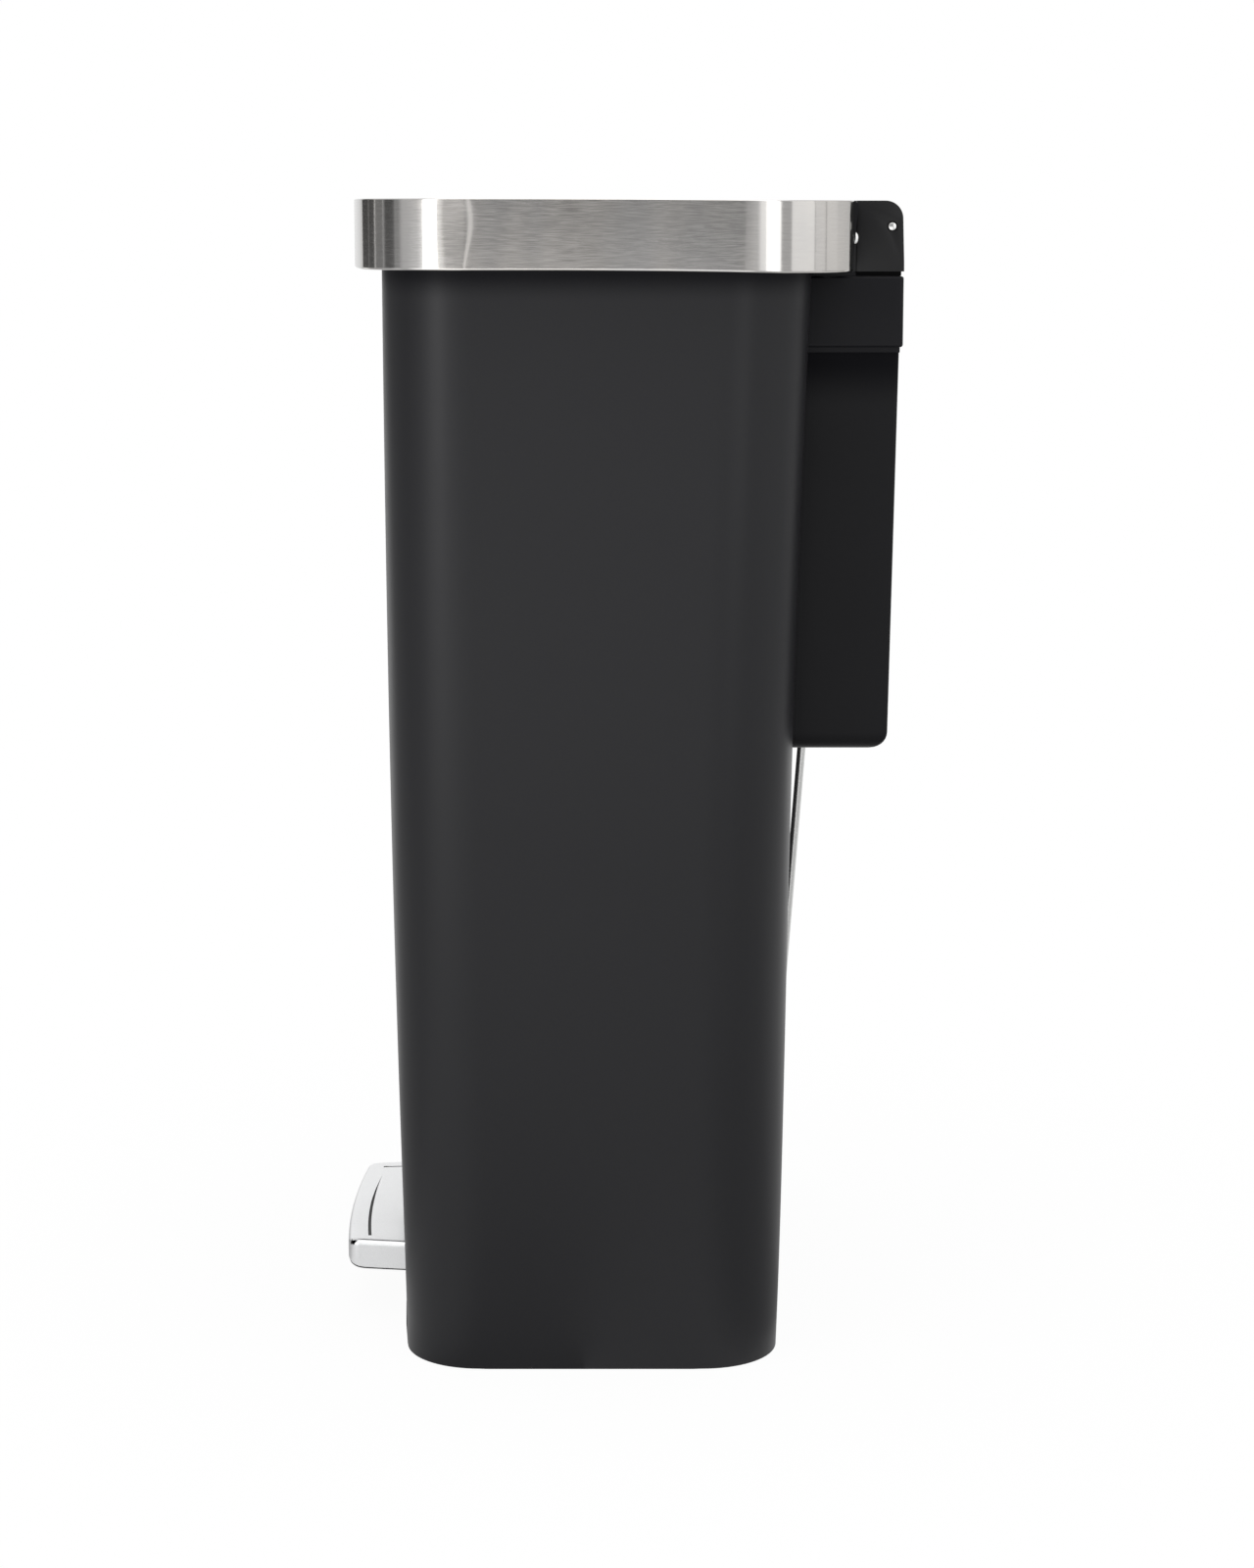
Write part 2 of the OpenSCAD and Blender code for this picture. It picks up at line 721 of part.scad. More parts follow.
module lid_shell() {
    plate_z = lid_top - lid_t;
    crown = [0, 20, 60, 110];
    color([0.14, 0.14, 0.15]) difference() {
        union() {
            loft(
                concat([closed(lid_half(0))], [closed(lid_half(0))], [for (c = crown) closed(lid_scaled(c))]),
                concat([plate_z, lid_top - 1], [for (c = crown) lid_top - 0.5 + (lid_crown - 0.2) * sin(90 * c / 110) ])
            );
            ring(closed(lid_half(0)), closed(lid_half(skirt_wall)), skirt_z, lid_skirt - 1);
            box(-apron_w / 2, apron_w / 2, lid_back - 10, apron_back, plate_z, lid_top - 0.4);
            for (p = bracket_bolts) translate([p[0], p[1], plate_z - 0.6]) cylinder(r = 4, h = 1);
            for (x = [-105, 105]) box(x - 1, x + 1, rim_front + 40, lid_back - 30, plate_z - 9, plate_z + 0.5);
        }
        for (x = [-arm_x - arm_w / 2, arm_x + arm_w / 2]) arm_notch(x, arm_w / 2 + 1);
        arm_notch(crank_x + crank_w / 2, crank_w / 2 + 1);
        for (p = bracket_bolts) translate([p[0], p[1], plate_z - 1]) cylinder(r = 1.3, h = 2.4);
    }
}

// The lid's outline drawn towards its middle, with as many points as the edge
function lid_scaled(c) = [for (p = lid_half(0)) [p[0] * (1 - (1 + c) / 200), p[1] * (1 - (1 + c) / 200)]];

module arm_notch(x, half) {
    box(x - half, x + half, lid_back - 6, lid_back + 1, bracket_top - 12, lid_top - lid_t);
}

bracket_bolts = [for (x = [-44, -20, 20, 44]) [x, bracket_front + 9]];

module lid_inner_panel() {
    t = 2;
    z = panel_z;
    color([0.16, 0.16, 0.17]) {
        ring(closed(lid_half(skirt_wall + seat)), closed(lid_half(panel_border)), z, t);
        ring(closed(lid_half(panel_border - t)), closed(lid_half(panel_border)), z, t + 3);
        translate([0, 0, z + 3]) linear_extrude(t) polygon(closed(lid_half(panel_border - t)));
    }
}

// Side view of a hinge arm, from the lid's underside to the pin
function arm_profile(extra) =
    let(top = bracket_top, low = bracket_top - bracket_t)
    concat(
        [[bracket_front + 20, low], [lid_back + 4, low - 1.6], [pin_y - 14, low - 2.6]],
        extra,
        arc(pin_y, pin_z, pin_eye_r, -110, 75),
        [[pin_y - 8, top - 2.4], [lid_back + 12, top], [bracket_front + 20, top]]
    );

module lid_hinge_bracket() {
    crank_lobe = concat(
        [[pin_y - lobe_back, bracket_top - 7]],
        arc(crank_y, crank_z, crank_eye_r, 165, 320)
    );
    color([0.2, 0.2, 0.2]) difference() {
        union() {
            box(-arm_x - arm_w, arm_x + arm_w, bracket_front, lid_back - 5, bracket_top - bracket_t, bracket_top - 0.65);
            for (x = [-arm_x - arm_w / 2, arm_x + arm_w / 2]) side_plate(arm_profile([]), x, arm_w);
            side_plate(arm_profile(crank_lobe), crank_x + crank_w / 2, crank_w);
        }
        x_rod(pin_y, pin_z, hinge_pin_d / 2 + pin_play, -block_w, block_w);
        x_rod(crank_y, crank_z, rod_d / 2 + pin_play, -20, 20);
        for (p = bracket_bolts) translate([p[0], p[1], bracket_top - bracket_t - 1])
            cylinder(r = 1.7, h = bracket_t + 2);
    }
}

module bracket_screws() {
    color([0.6, 0.6, 0.62]) for (p = bracket_bolts)
        translate([p[0], p[1], bracket_top - bracket_t - 2.05]) {
            cylinder(r = 3.4, h = 2);
            cylinder(r = 1.25, h = bracket_t + 3);
        }
}

module lid_bumpers() {
    z0 = body_h + flange_t + seat;
    places = [[bumper_front_x, front_top + 3.2], [bumper_back_x, back_top - 0.5]];
    color([0.3, 0.3, 0.3]) both_sides() for (p = places)
        translate([p[0], p[1], z0]) cylinder(r = bumper_r, h = panel_z - z0);
}

// ---------- Rod ----------

module lift_rod() {
    r = rod_d / 2;
    top = [0, crank_y, crank_z];
    bend = [0, bend_y, bend_z];
    low = [0, hook_y, hook_z + 20];
    hook = [0, hook_y, hook_z];
    color([0.8, 0.8, 0.82]) union() {
        bar(top, bend, r);
        bar(bend, low, r);
        bar(low, hook, r);
        for (p = [top, bend, low, hook]) translate(p) sphere(r = r + bend_swell);
        x_rod(crank_y, crank_z, r, 0, rod_hook_top);
        x_rod(hook_y, hook_z, r, 0, rod_hook_low);
    }
}

module bar(a, b, r) {
    d = b - a;
    length = norm(d);
    translate(a) rotate([0, acos(d[2] / length), atan2(d[1], d[0])]) cylinder(r = r, h = length);
}

module rod_clips() {
    color([0.5, 0.5, 0.52]) {
        clip(crank_y, crank_z, crank_x + crank_w + 0.1);
        clip(hook_y, hook_z, tail_half + 0.1);
    }
}

// Push-on washer that keeps a hooked end in its hole
module clip(y, z, x) {
    difference() {
        x_rod(y, z, rod_d / 2 + 1.6, x, x + 0.8);
        x_rod(y, z, rod_d / 2 + pin_play, x - 1, x + 2);
    }
}

// ---------- Pedal works ----------

module pedal_lever() {
    front_half = pedal_w / 2 - 12;
    front_y = pedal_front + 10;
    wide = [[0, front_y], [front_half, front_y], [front_half, front_y + 40], [lever_half, lever_pin_y - 22],
        [lever_half, lever_pin_y + 30], [tail_half, lever_pin_y + 62], [tail_half, hook_y - 10], [0, hook_y - 10]];
    plan = concat(wide, [for (i = [len(wide) - 2:-1:1]) [-wide[i][0], wide[i][1]]]);
    ear = concat(
        arc(hook_y + 1, hook_z, 9.6, -90, 90),
        [[lever_pin_y + 62, web_z + lever_t], [lever_pin_y + 62, web_z - 9]]
    );
    color([0.55, 0.55, 0.57]) difference() {
        union() {
            translate([0, 0, web_z]) linear_extrude(lever_t) polygon(plan);
            both_sides() {
                side_plate([
                    [lever_pin_y - 22, web_z + 1], [lever_pin_y - 12, web_z - flange_drop],
                    [lever_pin_y + 14, web_z - flange_drop], [lever_pin_y + 30, web_z - 9],
                    [lever_pin_y + 30, web_z + 1]
                ], lever_half - lever_t / 2, lever_t);
                side_plate(ear, tail_half - lever_t / 2, lever_t);
                translate([0, 0, web_z - 9]) linear_extrude(10) polygon([
                    [lever_half, lever_pin_y + 30], [tail_half, lever_pin_y + 62],
                    [tail_half - lever_t, lever_pin_y + 62], [lever_half - lever_t, lever_pin_y + 30]
                ]);
            }
        }
        x_rod(lever_pin_y, lever_pin_z, lever_pin_d / 2 + pin_play, -60, 60);
        hook_slot();
        hull() for (y = [damper_y - 0.4, damper_y + 5.4])
            translate([0, y, web_z - 1]) cylinder(r = piston_d / 2 + 0.6, h = 10, $fn = 32);
        for (p = rivet_places) translate([p[0], p[1], web_z - 1]) cylinder(r = 2, h = 10);
    }
}

// Lost-motion slot for the rod's lower hook
module hook_slot() {
    r = rod_d / 2 + slot_play;
    translate([-20, 0, 0]) rotate([90, 0, 90]) linear_extrude(60) hull() {
        translate([hook_y - slot_fore, hook_z]) circle(r = r);
        translate([hook_y + slot_aft, hook_z - 0.4]) circle(r = r);
    }
}

rivet_places = [for (x = [-50, 50], y = [0, 18]) [x, pedal_front + 18 + y]];

module pedal_core() {
    z0 = pedal_z - pedal_skirt + 0.9;
    z1 = pedal_z - pedal_t - 0.15;
    in = pedal_t + 0.4;
    half = pedal_w / 2 - 11.6;
    color([0.1, 0.1, 0.1]) difference() {
        union() {
            core_slab(in, z0, z1 - pedal_edge_r);
            core_slab(in + pedal_edge_r, z1 - pedal_edge_r - 1, z1);
        }
        box(-half, half, pedal_front + 9.6, big, web_z - 0.1, web_z + lever_t + 0.1);
        for (x = [-60:20:60]) box(x - 7, x + 7, pedal_front + 10, pedal_back, z0 - 1, web_z - 2);
        for (p = rivet_places) translate([p[0], p[1], web_z - 3]) cylinder(r = 2, h = 20);
    }
}

module core_slab(inset, z0, z1) {
    translate([0, 0, z0]) linear_extrude(z1 - z0) intersection() {
        polygon(closed(pedal_half(inset)));
        translate([-big, -2 * big]) square([2 * big, 2 * big + pedal_back - 6]);
    }
}

module pedal_rivets() {
    color([0.6, 0.6, 0.62]) for (p = rivet_places) translate([p[0], p[1], web_z - 1.9])
        cylinder(r = 1.95, h = lever_t + 2.9);
}

module pedal_cap() {
    z0 = pedal_z - pedal_skirt;
    steps = 4;
    outer_z = concat([z0], [for (i = [0:steps]) pedal_z - pedal_edge_r * (1 - sin(90 * i / steps))]);
    outer_in = concat([0], [for (i = [0:steps]) pedal_edge_r * (1 - cos(90 * i / steps))]);
    color([0.86, 0.86, 0.87]) difference() {
        loft([for (i = [0:len(outer_z) - 1]) closed(pedal_half(outer_in[i]))], outer_z);
        loft(
            [for (i = [0:len(outer_z) - 1]) closed(pedal_half(outer_in[i] * 0.7 + pedal_t))],
            [for (i = [0:len(outer_z) - 1]) i == 0 ? z0 - 1 : outer_z[i] - pedal_t]
        );
        box(-big, big, pedal_back - 1, big, 0, big);
        front_slot();
        both_sides() side_slot();
    }
}

// Curved slot across the tread, parallel to the front edge
module front_slot() {
    reach = pedal_w / 2 - 10;
    span = asin(reach / pedal_curve_r);
    cy = pedal_front + pedal_curve_r;
    translate([0, 0, pedal_z - 3]) linear_extrude(6) polygon(concat(
        arc(0, cy, pedal_curve_r - tread_in, -90 - span, -90 + span, 10),
        arc(0, cy, pedal_curve_r - tread_in - tread_slot, -90 + span, -90 - span, 10)
    ));
}

// Straight slot along one side of the tread
module side_slot() {
    x = pedal_w / 2 - 5.6;
    y = pedal_front + 9;
    translate([0, 0, pedal_z - 3]) linear_extrude(6) polygon([
        [x, y], [x + tread_slot, y + 0.6], [x + tread_slot + 3.4, pedal_back + 1], [x + 3.4, pedal_back + 1]
    ]);
}

module lever_pin() {
    color([0.7, 0.7, 0.72]) x_rod(lever_pin_y, lever_pin_z, lever_pin_d / 2, -tower_x - tower_w - 1.5,
        tower_x + tower_w + 1.5);
}

module lever_bushes() {
    color([0.85, 0.83, 0.75]) both_sides() difference() {
        union() {
            x_rod(lever_pin_y, lever_pin_z, bush_d / 2, tower_x - 1, tower_x + tower_w);
            x_rod(lever_pin_y, lever_pin_z, bush_d / 2 + 2, tower_x - 1.5, tower_x - 0.1);
        }
        x_rod(lever_pin_y, lever_pin_z, lever_pin_d / 2 + pin_play, tower_x - 5, tower_x + tower_w + 5);
    }
}

module damper_cylinder() {
    color([0.15, 0.15, 0.16]) translate([0, damper_y, damper_z]) difference() {
        cylinder(r = damper_d / 2, h = damper_h);
        translate([0, 0, 2]) cylinder(r = damper_d / 2 - 2, h = damper_h);
    }
}

module damper_cap() {
    color([0.7, 0.7, 0.7]) translate([0, damper_y, damper_z + damper_h]) difference() {
        union() {
            cylinder(r = damper_d / 2, h = 1.5);
            translate([0, 0, -2]) cylinder(r = damper_d / 2 - 2.05, h = 2);
        }
        translate([0, 0, -5]) cylinder(r = piston_d / 2 + pin_play, h = 10);
    }
}

module damper_piston() {
    z0 = damper_z + 2.5;
    color([0.75, 0.75, 0.77]) translate([0, damper_y, 0]) {
        translate([0, 0, z0]) cylinder(r = damper_d / 2 - 2.05, h = 3.5);
        translate([0, 0, z0]) cylinder(r = piston_d / 2, h = web_z + lever_t + seat + 1 - z0);
    }
}

module damper_knob() {
    z0 = web_z + lever_t + seat;
    color([0.2, 0.2, 0.2]) translate([0, damper_y, z0]) difference() {
        union() {
            cylinder(r = knob_r, h = 2);
            translate([0, 0, 2]) cylinder(r1 = knob_r, r2 = knob_r - 1.5, h = 2);
        }
        translate([0, 0, -1]) cylinder(r = piston_d / 2 + pin_play, h = 2.05);
    }
}

// ---------- Rim ----------

module rim_band() {
    r = 1.2;
    // Profile as insets from the outer outline and heights, anticlockwise from the foot
    profile = [
        [1.6, rim_z], [0.6, rim_z + 0.15], [0.1, rim_z + 0.8], [0, rim_z + 1.8],
        [0, can_h - 2 * r], [0.15, can_h - r], [0.7, can_h - 0.3], [1.6, can_h],
        [top_return, can_h], [top_return, can_h - band_t], [1.8, can_h - band_t],
        [band_t, can_h - 2 * r], [band_t, rim_z + 1.8], [1.6, rim_z + band_t]
    ];
    color([0.72, 0.71, 0.69]) sweep_open(
        [for (p = profile) open_u(rim_half(p[0], rim_end_x))],
        [for (p = profile) p[1]]
    );
}

module rim_frame() {
    lip = closed(lid_half(-lid_gap, lip_relief));
    lip_outer = closed(lid_half(-lid_gap - lip_wall, lip_relief));
    color([0.1, 0.1, 0.11]) {
        difference() {
            union() {
                ring(closed(rim_half(frame_in + 0.6)), closed(rim_half(frame_in + frame_wall)),
                    frame_z, web_top - 2 - frame_z);
                ring(closed(rim_half(frame_in + 1)), lip, web_top - web_t, web_t);
                ring(lip_outer, lip, web_top - lip_drop, lip_drop - 1);
            }
            box(-rim_gate_x, rim_gate_x, rim_back - 40, big, 0, big);
        }
        both_sides() {
            rim_end();
            rim_ear();
        }
    }
}

// Closed black end of the rim beside the hinge block
module rim_end() {
    z0 = rim_z + 0.5;
    w = rim_end_x - rim_gate_x;
    top = can_h - 1;
    front = end_cap_back - end_cap_d;
    side_plate(concat(
        [[front, z0 + 3], [front + 3, z0], [end_cap_back - 3, z0]],
        arc(end_cap_back - 3, top - 3, 3, 0, 90, 4),
        [[front, top]]
    ), rim_gate_x + w / 2 - 0.2, w);
}

// Link and ear that reach inside the hinge block to the pivot pin
module rim_ear() {
    y0 = rim_back - 7.5;
    y1 = rim_back - 0.5;
    z0 = body_h + 2.4;
    z1 = pivot_z - 1.5;
    difference() {
        union() {
            box(ear_x, rim_gate_x + 2, y0, y1, z0, z1);
            side_plate(concat(
                [[y0, z1], [y0, z0], [y1, z0]], arc(pivot_y, pivot_z, 5, -60, 120)
            ), ear_x + ear_w / 2, ear_w);
        }
        x_rod(pivot_y, pivot_z, pivot_pin_d / 2 + pin_play, ear_x - 5, ear_x + ear_w + 1);
    }
}

outer_body();
base_plate();
floor_pads();
base_screws();
top_collar();
hinge_block();
lid_hinge_pin();
rim_pivot_pins();
rear_housing();
housing_screws();
liner_pocket();
lever_pin();
lever_bushes();
damper_cylinder();
damper_cap();
lid_shell();
lid_inner_panel();
lid_hinge_bracket();
bracket_screws();
lid_bumpers();
lift_rod();
rod_clips();
pedal_lever();
pedal_core();
pedal_cap();
pedal_rivets();
damper_piston();
damper_knob();
rim_band();
rim_frame();
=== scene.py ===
"""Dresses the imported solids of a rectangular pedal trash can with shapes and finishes.

Every piece is in the frame of the solids: +Z up, the pedal faces -Y, and the origin is the
middle of the footprint on the floor. Sizes in the classes are in millimetres, and meshes
are in metres. The classes are built in the order of assembly by main().
"""

from __future__ import annotations

import json
import logging
import math
from dataclasses import dataclass, replace
from enum import Enum
from typing import Any, Callable, Iterable, Sequence

import bmesh
import bpy
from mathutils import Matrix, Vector

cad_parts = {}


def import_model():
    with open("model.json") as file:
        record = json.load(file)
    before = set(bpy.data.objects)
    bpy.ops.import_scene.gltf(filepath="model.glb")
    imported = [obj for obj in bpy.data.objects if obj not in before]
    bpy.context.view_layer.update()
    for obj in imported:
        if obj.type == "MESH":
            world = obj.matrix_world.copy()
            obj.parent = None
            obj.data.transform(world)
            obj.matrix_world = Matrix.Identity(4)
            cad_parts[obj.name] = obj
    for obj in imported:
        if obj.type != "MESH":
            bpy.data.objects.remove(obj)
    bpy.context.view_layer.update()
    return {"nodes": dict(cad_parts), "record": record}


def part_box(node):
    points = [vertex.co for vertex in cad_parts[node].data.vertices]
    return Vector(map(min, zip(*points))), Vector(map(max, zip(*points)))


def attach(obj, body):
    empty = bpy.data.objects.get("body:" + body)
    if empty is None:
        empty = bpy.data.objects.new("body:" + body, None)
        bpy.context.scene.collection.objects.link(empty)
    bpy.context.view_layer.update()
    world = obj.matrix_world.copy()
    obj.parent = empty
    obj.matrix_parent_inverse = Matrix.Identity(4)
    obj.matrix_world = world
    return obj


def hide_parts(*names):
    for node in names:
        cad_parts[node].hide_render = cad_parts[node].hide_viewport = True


LOG = logging.getLogger("pedal_can")
MM = 0.001

Point2 = tuple[float, float]
Point3 = tuple[float, float, float]
Colour = tuple[float, float, float]
Socket = bpy.types.NodeSocket
SocketTable = dict[str, tuple[str, Any]]

DUST_COLOUR = (0.2, 0.19, 0.18, 1)


# ---------------------------------------------------------------------------
# Outlines
# ---------------------------------------------------------------------------


def arc(centre: Point2, radius: float, start: float, end: float, steps: int) -> list[Point2]:
    """Points along an arc.

    Args:
        centre: Middle of the arc.
        radius: Its radius.
        start: First angle in degrees.
        end: Last angle in degrees.
        steps: How many spans lie between the two ends.

    Returns:
        steps + 1 points.
    """
    points = []
    for i in range(steps + 1):
        angle = math.radians(start + (end - start) * i / steps)
        points.append((centre[0] + radius * math.cos(angle), centre[1] + radius * math.sin(angle)))
    return points


def flat_run(start: Point2, end: Point2) -> list[Point2]:
    """Points inside a straight run, gathered near its ends so that shading stays flat between.

    Args:
        start: Where the run starts.
        end: Where it ends.

    Returns:
        The points in order.
    """
    shares = (0.015, 0.06, 0.28, 0.5, 0.72, 0.94, 0.985)
    (x, y), across, along = start, end[0] - start[0], end[1] - start[1]
    return [(x + across * s, y + along * s) for s in shares]


def quarter(radius: float, spans: int) -> list[Point2]:
    """Quarter circle as distances from both sides of its corner, from (0, r) to (r, 0)."""
    turns = [math.radians(90 * i / spans) for i in range(spans + 1)]
    return [(radius * (1 - math.cos(t)), radius * (1 - math.sin(t))) for t in turns]


@dataclass(frozen=True)
class Outline:
    """Rounded rectangle with a bowed front, seen from above and mirrored about x = 0."""

    half: float
    front: float
    back: float
    front_r: float
    back_r: float
    bow_r: float
    steepest: float = 90.0

    def inset(self, distance: float) -> "Outline":
        """The outline drawn inwards all round by a distance.

        Args:
            distance: The distance.

        Returns:
            The smaller outline.
        """
        return Outline(
            self.half - distance,
            self.front + distance,
            self.back - distance,
            self.front_r - distance,
            self.back_r - distance,
            self.bow_r - distance,
            self.steepest,
        )

    def right_half(self, corner_steps: int, back_x: float = 0.0) -> list[Point2]:
        """Points from the middle of the front round the right side to the back.

        Args:
            corner_steps: Spans in each corner.
            back_x: Where the run along the back ends.

        Returns:
            The points in order.
        """
        reach = self.bow_r - self.front_r
        across = self.half - self.front_r
        lean = math.degrees(math.asin(across / reach))
        corner_y = self.front + self.bow_r - math.sqrt(reach * reach - across * across)
        middle = (0.0, self.front + self.bow_r)
        run: list[Point2] = []
        if lean > self.steepest:
            lean, turn = self.steepest, math.radians(self.steepest)
            end = (self.bow_r * math.sin(turn), middle[1] - self.bow_r * math.cos(turn))
            corner_x = across + self.front_r * math.sin(turn)
            start_y = end[1] + (corner_x - end[0]) * math.tan(turn)
            corner_y = start_y + self.front_r * math.cos(turn)
            run = [end] + flat_run(end, (corner_x, start_y))
        points = arc(middle, self.bow_r, -90, -90 + lean, 12)[:-1] + run
        points += arc((across, corner_y), self.front_r, lean - 90, 0, corner_steps)
        back_corner = (self.half - self.back_r, self.back - self.back_r)
        points += flat_run((self.half, corner_y), (self.half, back_corner[1]))
        points += arc(back_corner, self.back_r, 0, 90, corner_steps)
        points += flat_run((back_corner[0], self.back), (back_x, self.back))
        points.append((back_x, self.back))
        return points

    def closed(self, corner_steps: int = 16) -> list[Point2]:
        """Closed outline, anticlockwise from above."""
        right = self.right_half(corner_steps)
        return right + [(-x, y) for x, y in reversed(right[1:-1])]

    def open_path(self, back_x: float, corner_steps: int = 24) -> list[Point2]:
        """Open outline from the right end of the back, round the front, to the left end."""
        right = self.right_half(corner_steps, back_x)
        return list(reversed(right)) + [(-x, y) for x, y in right[1:]]


# ---------------------------------------------------------------------------
# Meshes
# ---------------------------------------------------------------------------


def mesh_piece(
    name: str, points: Iterable[Point3], faces: Iterable[Sequence[int]]
) -> bpy.types.Object:
    """Makes an object from points in millimetres.

    Args:
        name: Name of the piece.
        points: Corner points in millimetres.
        faces: Corner numbers of each face.

    Returns:
        The new object, linked to the scene, with faces turned outwards.
    """
    mesh = bpy.data.meshes.new(name)
    in_metres = [(x * MM, y * MM, z * MM) for x, y, z in points]
    mesh.from_pydata(in_metres, [], [tuple(f) for f in faces])
    edit = bmesh.new()
    edit.from_mesh(mesh)
    bmesh.ops.remove_doubles(edit, verts=edit.verts, dist=1e-7)
    bmesh.ops.recalc_face_normals(edit, faces=edit.faces)
    edit.to_mesh(mesh)
    edit.free()
    piece = bpy.data.objects.new(name, mesh)
    bpy.context.scene.collection.objects.link(piece)
    return piece


def loft(name: str, rings: Sequence[Sequence[Point3]]) -> bpy.types.Object:
    """Closed solid through rings that all have as many points.

    Args:
        name: Name of the piece.
        rings: Closed rings in order; the first and the last are capped.

    Returns:
        The new object.
    """
    count = len(rings[0])
    points = [p for ring in rings for p in ring]
    faces: list[Sequence[int]] = []
    for level in range(len(rings) - 1):
        a, b = level * count, (level + 1) * count
        for i in range(count):
            j = (i + 1) % count
            faces.append((a + i, a + j, b + j, b + i))
    faces.append(tuple(reversed(range(count))))
    faces.append(tuple((len(rings) - 1) * count + i for i in range(count)))
    return mesh_piece(name, points, faces)


def at_height(outline: Iterable[Point2], z: float) -> list[Point3]:
    """A flat outline lifted to a height."""
    return [(x, y, z) for x, y in outline]


def side_slab(name: str, profile: Sequence[Point2], x0: float, x1: float) -> bpy.types.Object:
    """Solid that carries a side profile of (y, z) points from x0 to x1."""
    return loft(name, [[(x0, y, z) for y, z in profile], [(x1, y, z) for y, z in profile]])


def block(name: str, low: Point3, high: Point3) -> bpy.types.Object:
    """Box between two corners, used as a cutter."""
    (x0, y0, z0), (x1, y1, z1) = low, high
    return side_slab(name, [(y0, z0), (y1, z0), (y1, z1), (y0, z1)], x0, x1)


def drill(
    name: str, start: Point3, end: Point3, radius: float, steps: int = 48
) -> bpy.types.Object:
    """Round bar between two points, used as a cutter.

    Args:
        name: Name of the bar.
        start: Middle of one end.
        end: Middle of the other end.
        radius: Radius of the bar.
        steps: Sides of the bar.

    Returns:
        The new object.
    """
    a, b = Vector(start), Vector(end)
    turn = (b - a).to_track_quat("Z", "Y").to_matrix()
    rings = []
    for base in (a, b):
        ring = []
        for i in range(steps):
            angle = 2 * math.pi * i / steps
            spot = base + turn @ Vector((radius * math.cos(angle), radius * math.sin(angle), 0))
            ring.append(tuple(spot))
        rings.append(ring)
    return loft(name, rings)


def settle(piece: bpy.types.Object) -> bpy.types.Object:
    """Turns a piece and its modifiers into a plain mesh.

    Args:
        piece: The piece.

    Returns:
        The same piece.
    """
    graph = bpy.context.evaluated_depsgraph_get()
    plain = bpy.data.meshes.new_from_object(piece.evaluated_get(graph))
    piece.modifiers.clear()
    old, piece.data = piece.data, plain
    plain.name = piece.name
    bpy.data.meshes.remove(old)
    return piece


def combine(
    piece: bpy.types.Object, others: Sequence[bpy.types.Object], operation: str
) -> bpy.types.Object:
    """Cuts others from a piece or fuses them to it, and deletes them.

    Args:
        piece: What is changed.
        others: The cutters or bosses.
        operation: DIFFERENCE or UNION.

    Returns:
        The changed piece.
    """
    for other in others:
        step = piece.modifiers.new("step", "BOOLEAN")
        step.operation = operation
        step.solver = "EXACT"
        step.object = other
    settle(piece)
    for other in others:
        mesh = other.data
        bpy.data.objects.remove(other)
        bpy.data.meshes.remove(mesh)
    return piece


def cut(piece: bpy.types.Object, *cutters: bpy.types.Object) -> bpy.types.Object:
    """Cuts each cutter out of a piece."""
    return combine(piece, cutters, "DIFFERENCE")


def fuse(piece: bpy.types.Object, *others: bpy.types.Object) -> bpy.types.Object:
    """Fuses others to a piece."""
    return combine(piece, others, "UNION")


def soften(
    piece: bpy.types.Object, width: float, segments: int = 3, angle: float = 40
) -> bpy.types.Object:
    """Rounds the sharp edges of a piece.

    Args:
        piece: What is rounded.
        width: Width of the rounding in millimetres.
        segments: Spans across it.
        angle: Edges sharper than this many degrees are rounded.

    Returns:
        The changed piece.
    """
    edit = bmesh.new()
    edit.from_mesh(piece.data)
    bmesh.ops.remove_doubles(edit, verts=edit.verts, dist=2e-6)
    flat = math.radians(0.4)
    bmesh.ops.dissolve_limit(edit, angle_limit=flat, verts=edit.verts, edges=edit.edges)
    edit.to_mesh(piece.data)
    edit.free()
    bevel = piece.modifiers.new("rounding", "BEVEL")
    bevel.width = width * MM
    bevel.segments = segments
    bevel.limit_method = "ANGLE"
    bevel.angle_limit = math.radians(angle)
    bevel.use_clamp_overlap = True
    bevel.harden_normals = False
    return settle(piece)


def smooth(piece: bpy.types.Object, angle: float = 32) -> bpy.types.Object:
    """Shades a piece smooth, with some edges kept crisp.

    Args:
        piece: What is shaded.
        angle: Edges sharper than this many degrees stay crisp.

    Returns:
        The changed piece.
    """
    edit = bmesh.new()
    edit.from_mesh(piece.data)
    bmesh.ops.remove_doubles(edit, verts=edit.verts, dist=2e-6)
    edit.to_mesh(piece.data)
    edit.free()
    for polygon in piece.data.polygons:
        polygon.use_smooth = True
    piece.data.set_sharp_from_angle(angle=math.radians(angle))
    return piece


# ---------------------------------------------------------------------------
# Node trees
# ---------------------------------------------------------------------------


